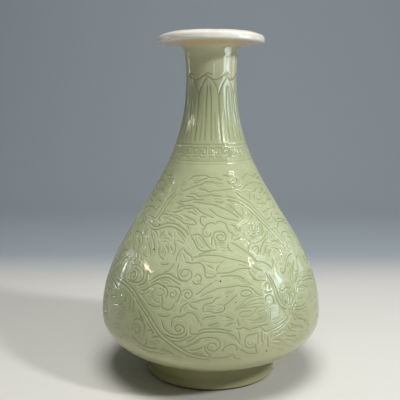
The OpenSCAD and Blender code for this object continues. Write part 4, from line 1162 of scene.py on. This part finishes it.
class Tree:
    """A material's node tree with short helpers."""

    def __init__(self, name):
        self.material = bpy.data.materials.new(name)
        self.material.use_nodes = True
        self.nodes = self.material.node_tree.nodes
        self.links = self.material.node_tree.links
        self.shader = self.nodes["Principled BSDF"]
        self.where = self.nodes.new("ShaderNodeTexCoord").outputs["Object"]

    def put(self, socket, value):
        """Links a socket to an output, or sets its value."""
        if isinstance(value, bpy.types.NodeSocket):
            self.links.new(value, socket)
        elif isinstance(value, tuple) and len(value) == 3 and socket.type == "RGBA":
            socket.default_value = (*value, 1)
        else:
            socket.default_value = value

    def set(self, **values):
        """Sets inputs of the shader by name."""
        for key, value in values.items():
            self.put(self.shader.inputs[key.replace("_", " ").title().replace("Ior", "IOR")], value)

    def noise(self, scale, detail=3.0):
        """Soft noise, 0 to 1."""
        node = self.nodes.new("ShaderNodeTexNoise")
        self.links.new(self.where, node.inputs["Vector"])
        node.inputs["Scale"].default_value = scale
        node.inputs["Detail"].default_value = detail
        node.inputs["Roughness"].default_value = NOISE_ROUGH
        return node.outputs["Fac"]

    def dots(self, scale, outer, inner, rare, common):
        """Scattered dots, soft from their outer to their inner edge, in the cells above the rare share."""
        node = self.nodes.new("ShaderNodeTexVoronoi")
        self.links.new(self.where, node.inputs["Vector"])
        node.inputs["Scale"].default_value = scale
        inside = self.spread(node.outputs["Distance"], outer, inner)
        return self.times(inside, self.spread(node.outputs["Color"], rare, common))

    def spread(self, value, low, high, to_low=0.0, to_high=1.0):
        """A smooth step of a value from low to high."""
        node = self.nodes.new("ShaderNodeMapRange")
        node.interpolation_type = "SMOOTHSTEP"
        self.put(node.inputs["Value"], value)
        for key, number in (("From Min", low), ("From Max", high), ("To Min", to_low), ("To Max", to_high)):
            node.inputs[key].default_value = number
        return node.outputs["Result"]

    def times(self, a, b):
        """The product of two values."""
        node = self.nodes.new("ShaderNodeMath")
        node.operation = "MULTIPLY"
        self.put(node.inputs[0], a)
        self.put(node.inputs[1], b)
        return node.outputs[0]

    def mix(self, amount, a, b):
        """Colour a with an amount of colour b."""
        node = self.nodes.new("ShaderNodeMix")
        node.data_type = "RGBA"
        self.put(node.inputs["Factor"], amount)
        self.put(node.inputs[6], a)
        self.put(node.inputs[7], b)
        return node.outputs[2]

    def attribute(self, name):
        """A value that the mesh carries."""
        node = self.nodes.new("ShaderNodeAttribute")
        node.attribute_name = name
        return node.outputs["Fac"]

    def along(self, axis):
        """The place along an axis, in metres."""
        node = self.nodes.new("ShaderNodeSeparateXYZ")
        self.links.new(self.where, node.inputs[0])
        return node.outputs[axis]

    def bump(self, value, strength, distance):
        """Fine relief of the surface."""
        node = self.nodes.new("ShaderNodeBump")
        node.inputs["Strength"].default_value = strength
        node.inputs["Distance"].default_value = distance
        self.links.new(value, node.inputs["Height"])
        self.links.new(node.outputs["Normal"], self.shader.inputs["Normal"])


CELADON, CELADON_DEEP, CELADON_POOL = (0.49, 0.53, 0.335), (0.43, 0.47, 0.285), (0.23, 0.28, 0.115)
# The thin celadon is painted light on the neck, partly thinner glaze there.
# The upper celadon is painted light: a paler, slightly greener glaze for the upward-facing shoulder, where
# more light falls.
CELADON_UPPER_LIT, CELADON_LOW, CELADON_THIN_LIT = (0.58, 0.635, 0.415), (0.48, 0.49, 0.285), (0.60, 0.62, 0.44)
# The foot's olive is painted shade where the belly shades the foot, partly thicker glaze there.
FOOT_SHADE_OLIVE, IRON = (0.275, 0.28, 0.13), (0.09, 0.05, 0.025)
# The second lip colour is painted shade for the lip's underside; the tan is the cove's own colour.
LIP_WHITE, LIP_PAINTED_SHADE, LIP_TAN = (0.84, 0.825, 0.77), (0.56, 0.54, 0.43), (0.61, 0.39, 0.18)
LIP_CREAM, LIP_STAIN = (0.72, 0.69, 0.58), (0.58, 0.53, 0.38)
BURNT, BURNT_DARK, BURNT_ASH = (0.30, 0.145, 0.06), (0.17, 0.085, 0.045), (0.42, 0.27, 0.15)
BURNT_GRAIN = (0.05, 0.03, 0.02)
STONEWARE = (0.62, 0.55, 0.44), (0.50, 0.43, 0.33), (0.16, 0.10, 0.06)
SLIP = (0.70, 0.64, 0.52), (0.60, 0.53, 0.41), (0.34, 0.27, 0.18)
# Heights in metres between which the glaze changes colour; the upper and neck fades paint light, the foot
# fade paints shade, and the foot edge fade paints a lit band
BELLY_FADE, UPPER_LIT_START, UPPER_LIT_END = (0.095, 0.03), (0.07, 0.13), (0.18, 0.155)
NECK_LIT_FADE, FOOT_SHADE_FADE, FOOT_EDGE_LIT_FADE = (0.255, 0.295), (0.046, 0.019), (0.010, 0.003)


def carved_tints(t, colour):
    """The carved coat's colours: by height, in the grooves, at the lip and in the specks, with painted light
    on the shoulder, neck and foot edge and painted shade on the foot and under the lip.
    """
    z = t.along("Z")
    colour = t.mix(t.spread(z, *BELLY_FADE, 0, 0.8), colour, CELADON_LOW)
    # Painted light: the upward-facing shoulder is made paler and a little greener, as light from above falls
    # on it.
    upper = t.times(t.spread(z, *UPPER_LIT_START), t.spread(z, *UPPER_LIT_END))
    colour = t.mix(t.times(upper, 0.58), colour, CELADON_UPPER_LIT)
    # Painted light, partly thinner glaze: the neck is made paler.
    colour = t.mix(t.spread(z, *NECK_LIT_FADE, 0, 0.55), colour, CELADON_THIN_LIT)
    # Painted shade, partly thicker glaze: the foot and lowest belly darken to olive where the belly shades
    # them.
    colour = t.mix(t.spread(z, *FOOT_SHADE_FADE), colour, FOOT_SHADE_OLIVE)
    # Painted light: a lighter band along the foot's lowest edge, where the key light reaches under the belly.
    colour = t.mix(t.spread(z, *FOOT_EDGE_LIT_FADE, 0, 0.7), colour, CELADON_LOW)
    # Pooled glaze in the grooves and the tan cove are the glaze's own colours; the mask under the lip paints
    # shade.
    maps = [("pool", 0.66, CELADON_POOL), ("under_lip_shade", 0.9, LIP_PAINTED_SHADE), ("cove", 0.8, LIP_TAN)]
    for name, most, tint in maps:
        colour = t.mix(t.spread(t.attribute(name), 0, 1, 0, most), colour, tint)
    colour = t.mix(t.attribute("lip"), colour, LIP_WHITE)
    return t.mix(t.spread(t.attribute("speck"), 0.2, 0.7), colour, IRON)


def celadon(name, carved=False):
    """Glossy grey-green glaze, deeper in colour where it lies thick in the carving, with iron specks."""
    t = Tree(name)
    colour = t.mix(t.spread(t.noise(22), 0.35, 0.68), CELADON, CELADON_DEEP)
    colour = t.mix(t.spread(t.noise(420, 2), 0.45, 0.75, 0, 0.22), colour, CELADON_DEEP)
    if carved:
        colour = carved_tints(t, colour)
    colour = t.mix(t.times(t.dots(75, 0.04, 0.02, 0.55, 0.7), 0.6), colour, IRON)
    t.set(base_color=colour, roughness=t.spread(t.noise(60), 0.3, 0.7, 0.06, 0.11), specular_ior_level=0.45)
    t.bump(t.noise(160, 1), 0.08, 0.001)
    return t.material


def lip_white():
    """The lip's thin white glaze, creamy and stained in places."""
    t = Tree("lip_white")
    colour = t.mix(t.spread(t.noise(35), 0.4, 0.7, 0, 0.7), LIP_WHITE, LIP_CREAM)
    colour = t.mix(t.spread(t.noise(260, 4), 0.6, 0.8, 0, 0.35), colour, LIP_STAIN)
    colour = t.mix(t.times(t.dots(90, 0.06, 0.03, 0.6, 0.72), 0.7), colour, IRON)
    t.set(base_color=colour, roughness=t.spread(t.noise(80), 0.3, 0.7, 0.1, 0.2))
    t.bump(t.noise(140, 1), 0.06, 0.001)
    return t.material


def clay(name, pale, dark, grain):
    """Fired clay with grog and a few iron grains."""
    t = Tree(name)
    colour = t.mix(t.spread(t.noise(70, 4), 0.35, 0.7), pale, dark)
    colour = t.mix(t.times(t.dots(420, 0.16, 0.06, 0.5, 0.6), 0.8), colour, grain)
    t.set(base_color=colour, roughness=t.spread(t.noise(300), 0.3, 0.7, 0.75, 0.95))
    t.bump(t.noise(900, 4), 0.25, 0.0004)
    return t.material


def burnt_clay():
    """Bare clay that burnt orange-brown where no glaze covered it, ash grey in patches."""
    t = Tree("burnt_clay")
    colour = t.mix(t.spread(t.noise(45, 4), 0.35, 0.65), BURNT, BURNT_DARK)
    colour = t.mix(t.spread(t.noise(140, 4), 0.55, 0.72, 0, 0.6), colour, BURNT_ASH)
    colour = t.mix(t.times(t.dots(520, 0.18, 0.07, 0.5, 0.6), 0.8), colour, BURNT_GRAIN)
    t.set(base_color=colour, roughness=t.spread(t.noise(300), 0.3, 0.7, 0.7, 0.95))
    t.bump(t.noise(1100, 4), 0.3, 0.0004)
    return t.material


def dress(obj, material):
    """Gives a piece its material."""
    obj.data.materials.clear()
    obj.data.materials.append(material)


def build_vase():
    """The finer pieces in place of the coats and the foot, and materials on the solids that stay."""
    made = [
        (carved_glaze(), "outer_glaze", celadon("celadon_carved", True), "celadon_glaze"),
        (lip_coat(), "lip_glaze", lip_white(), "lip_glaze"),
        (inner_coat(), "inner_glaze", celadon("celadon_inside"), "inner_glaze"),
        (base_coat(), "base_glaze", celadon("celadon_base"), "base_glaze"),
        (bare_foot(), "foot_ring", burnt_clay(), "burnt_clay"),
    ]
    for obj, node, material, slot in made:
        dress(obj, material)
        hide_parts(node)
        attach(obj, "root")
    body, slip = clay("stoneware", *STONEWARE), clay("slip", *SLIP)
    for node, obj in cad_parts.items():
        if node in ("lower_body", "upper_body", "neck", "mouth_rim"):
            dress(obj, body)
        elif node.endswith("slip_joint"):
            dress(obj, slip)


PAPER_PALE, PAPER_SHADE, PAPER_BLUE = (0.78, 0.775, 0.755), (0.75, 0.745, 0.725), (0.42, 0.48, 0.54)
PAPER_FADE = (0.26, 0.5)
FLOOR_FRONT, FLOOR_BACK, FLOOR_BEND, WALL_TOP, FLOOR_HALF, BEND_STEPS = -3.0, 0.9, 0.6, 2.4, 3.0, 16


def paper():
    """Pale paper for the floor, blue-grey towards the backdrop."""
    t = Tree("pale_paper")
    pale = t.mix(t.spread(t.noise(3), 0.3, 0.7), PAPER_PALE, PAPER_SHADE)
    colour = t.mix(t.spread(t.along("Y"), *PAPER_FADE), pale, PAPER_BLUE)
    t.set(base_color=colour, roughness=0.8, specular_ior_level=0.15)
    return t.material


def stage():
    """A pale floor that sweeps up into a backdrop."""
    turns = np.linspace(0, math.pi / 2, BEND_STEPS)
    sweep = [(FLOOR_BACK + FLOOR_BEND * math.sin(k), FLOOR_BEND * (1 - math.cos(k))) for k in turns]
    profile = [(FLOOR_FRONT, 0.0)] + sweep + [(FLOOR_BACK + FLOOR_BEND, WALL_TOP)]
    verts = [(x, y, z) for y, z in profile for x in (-FLOOR_HALF, FLOOR_HALF)]
    faces = [(2 * k, 2 * k + 1, 2 * k + 3, 2 * k + 2) for k in range(len(profile) - 1)]
    mesh = bpy.data.meshes.new("floor")
    mesh.from_pydata(verts, [], faces)
    mesh.polygons.foreach_set("use_smooth", [True] * len(faces))
    floor = bpy.data.objects.new("floor", mesh)
    bpy.context.scene.collection.objects.link(floor)
    mesh.materials.append(paper())


AIM_Z = 0.15
PLAIN, SOFT, WARM, AMBER = (1.0, 0.995, 0.985), (1.0, 0.985, 0.925), (1.0, 0.97, 0.91), (1.0, 0.86, 0.66)
PALE_BLUE, COOL = (0.86, 0.95, 1.0), (0.62, 0.85, 1.0)
ROOM_TINT, ROOM_GLOW = (1.0, 0.97, 0.90, 1), 0.07
# Soft lamps: degrees around and up, metres away, width, height, power, colour
LAMPS = {
    "key": (55, 34, 1.4, 0.14, 0.14, 9.4, PLAIN),
    "ceiling": (5, 75, 1.5, 0.7, 0.7, 17.5, SOFT),
}
# Panes and a lamp tube that only the glaze mirrors, in the same order
PANES = [
    (52.2, 34.8, 1.4, 0.08, 0.15, 1.2, WARM),
    (70, 31, 1.4, 0.15, 0.12, 0.50, COOL),
    (65, 18, 1.4, 0.14, 0.50, 1.3, COOL),
    (61, 9, 0.8, 0.12, 0.18, 0.62, COOL),
    (78, 16.5, 0.8, 0.09, 0.20, 0.52, COOL),
    (64, -5.7, 0.78, 0.18, 0.11, 0.34, COOL),
    (116, 9, 1.4, 0.45, 0.35, 0.9, COOL),
    (11, 6, 1.4, 0.10, 0.15, 0.35, COOL),
    (-79, 21.8, 1.4, 0.48, 0.03, 1.1, AMBER),
    (-115.5, 8, 1.4, 0.03, 0.22, 0.5, PALE_BLUE),
    (-113.3, 0.1, 1.4, 0.06, 0.06, 0.3, COOL),
    (-107, 13.7, 1.4, 0.04, 0.12, 0.3, PALE_BLUE),
    (-99, 34, 1.4, 0.05, 0.14, 0.35, PALE_BLUE),
]
# Panes that only the neck mirrors, in the same order, then the height they face and the degrees they spread
NECK_PANES = [
    (78, 2.3, 0.5, 0.32, 0.18, 0.084, PALE_BLUE, 0.27, 48),
    (75, -13.5, 0.5, 0.26, 0.10, 0.040, PALE_BLUE, 0.30, 48),
    (54, 27.6, 0.474, 0.11, 0.10, 0.012, WARM, 0.20, 28),
]


def lamp(name, gloss, around, up, far, wide, tall, power, colour, facing=AIM_Z, spread=180):
    """An area lamp; around is degrees to the viewer's right of the front, up is degrees of height.

    With gloss, the glaze mirrors the lamp as a window pane and nothing else is lit by it.
    """
    a, e = math.radians(around), math.radians(up)
    aim = Vector((0, 0, facing))
    data = bpy.data.lights.new(name, "AREA")
    data.shape = "RECTANGLE"
    data.size, data.size_y = wide, tall
    data.energy = power
    data.color = colour
    data.spread = math.radians(spread)
    obj = bpy.data.objects.new(name, data)
    obj.location = aim + far * Vector((math.sin(a) * math.cos(e), -math.cos(a) * math.cos(e), math.sin(e)))
    obj.rotation_euler = (aim - obj.location).to_track_quat("-Z", "Y").to_euler()
    obj.visible_glossy = gloss
    obj.visible_diffuse = not gloss
    bpy.context.scene.collection.objects.link(obj)


def light():
    """A key from the upper right, a soft lamp overhead, the panes that the glaze mirrors, and a weak glow."""
    for name, values in LAMPS.items():
        lamp(name, False, *values)
    for n, values in enumerate(PANES):
        lamp("pane_%d" % n, True, *values)
    for n, values in enumerate(NECK_PANES):
        lamp("neck_pane_%d" % n, True, *values)
    world = bpy.data.worlds.new("soft_room")
    world.use_nodes = True
    back = world.node_tree.nodes["Background"]
    back.inputs["Color"].default_value = ROOM_TINT
    back.inputs["Strength"].default_value = ROOM_GLOW
    bpy.context.scene.world = world


SENSOR, LENS, CLIP = 36, 56.886, (0.01, 20)
CAMERA_AT, CAMERA_DOWN, CAMERA_TURN = (0, -0.6003, 0.2547), 0.14827, 0.0174


def camera():
    """The photo's own view, fitted to the outline of the vase."""
    data = bpy.data.cameras.new("camera")
    data.sensor_width = SENSOR
    data.lens = LENS
    data.clip_start, data.clip_end = CLIP
    obj = bpy.data.objects.new("camera", data)
    obj.location = CAMERA_AT
    obj.rotation_euler = (math.pi / 2 - CAMERA_DOWN, 0, CAMERA_TURN)
    bpy.context.scene.collection.objects.link(obj)
    bpy.context.scene.camera = obj


build_vase()
stage()
light()
camera()
bpy.context.scene.view_settings.view_transform = "Standard"
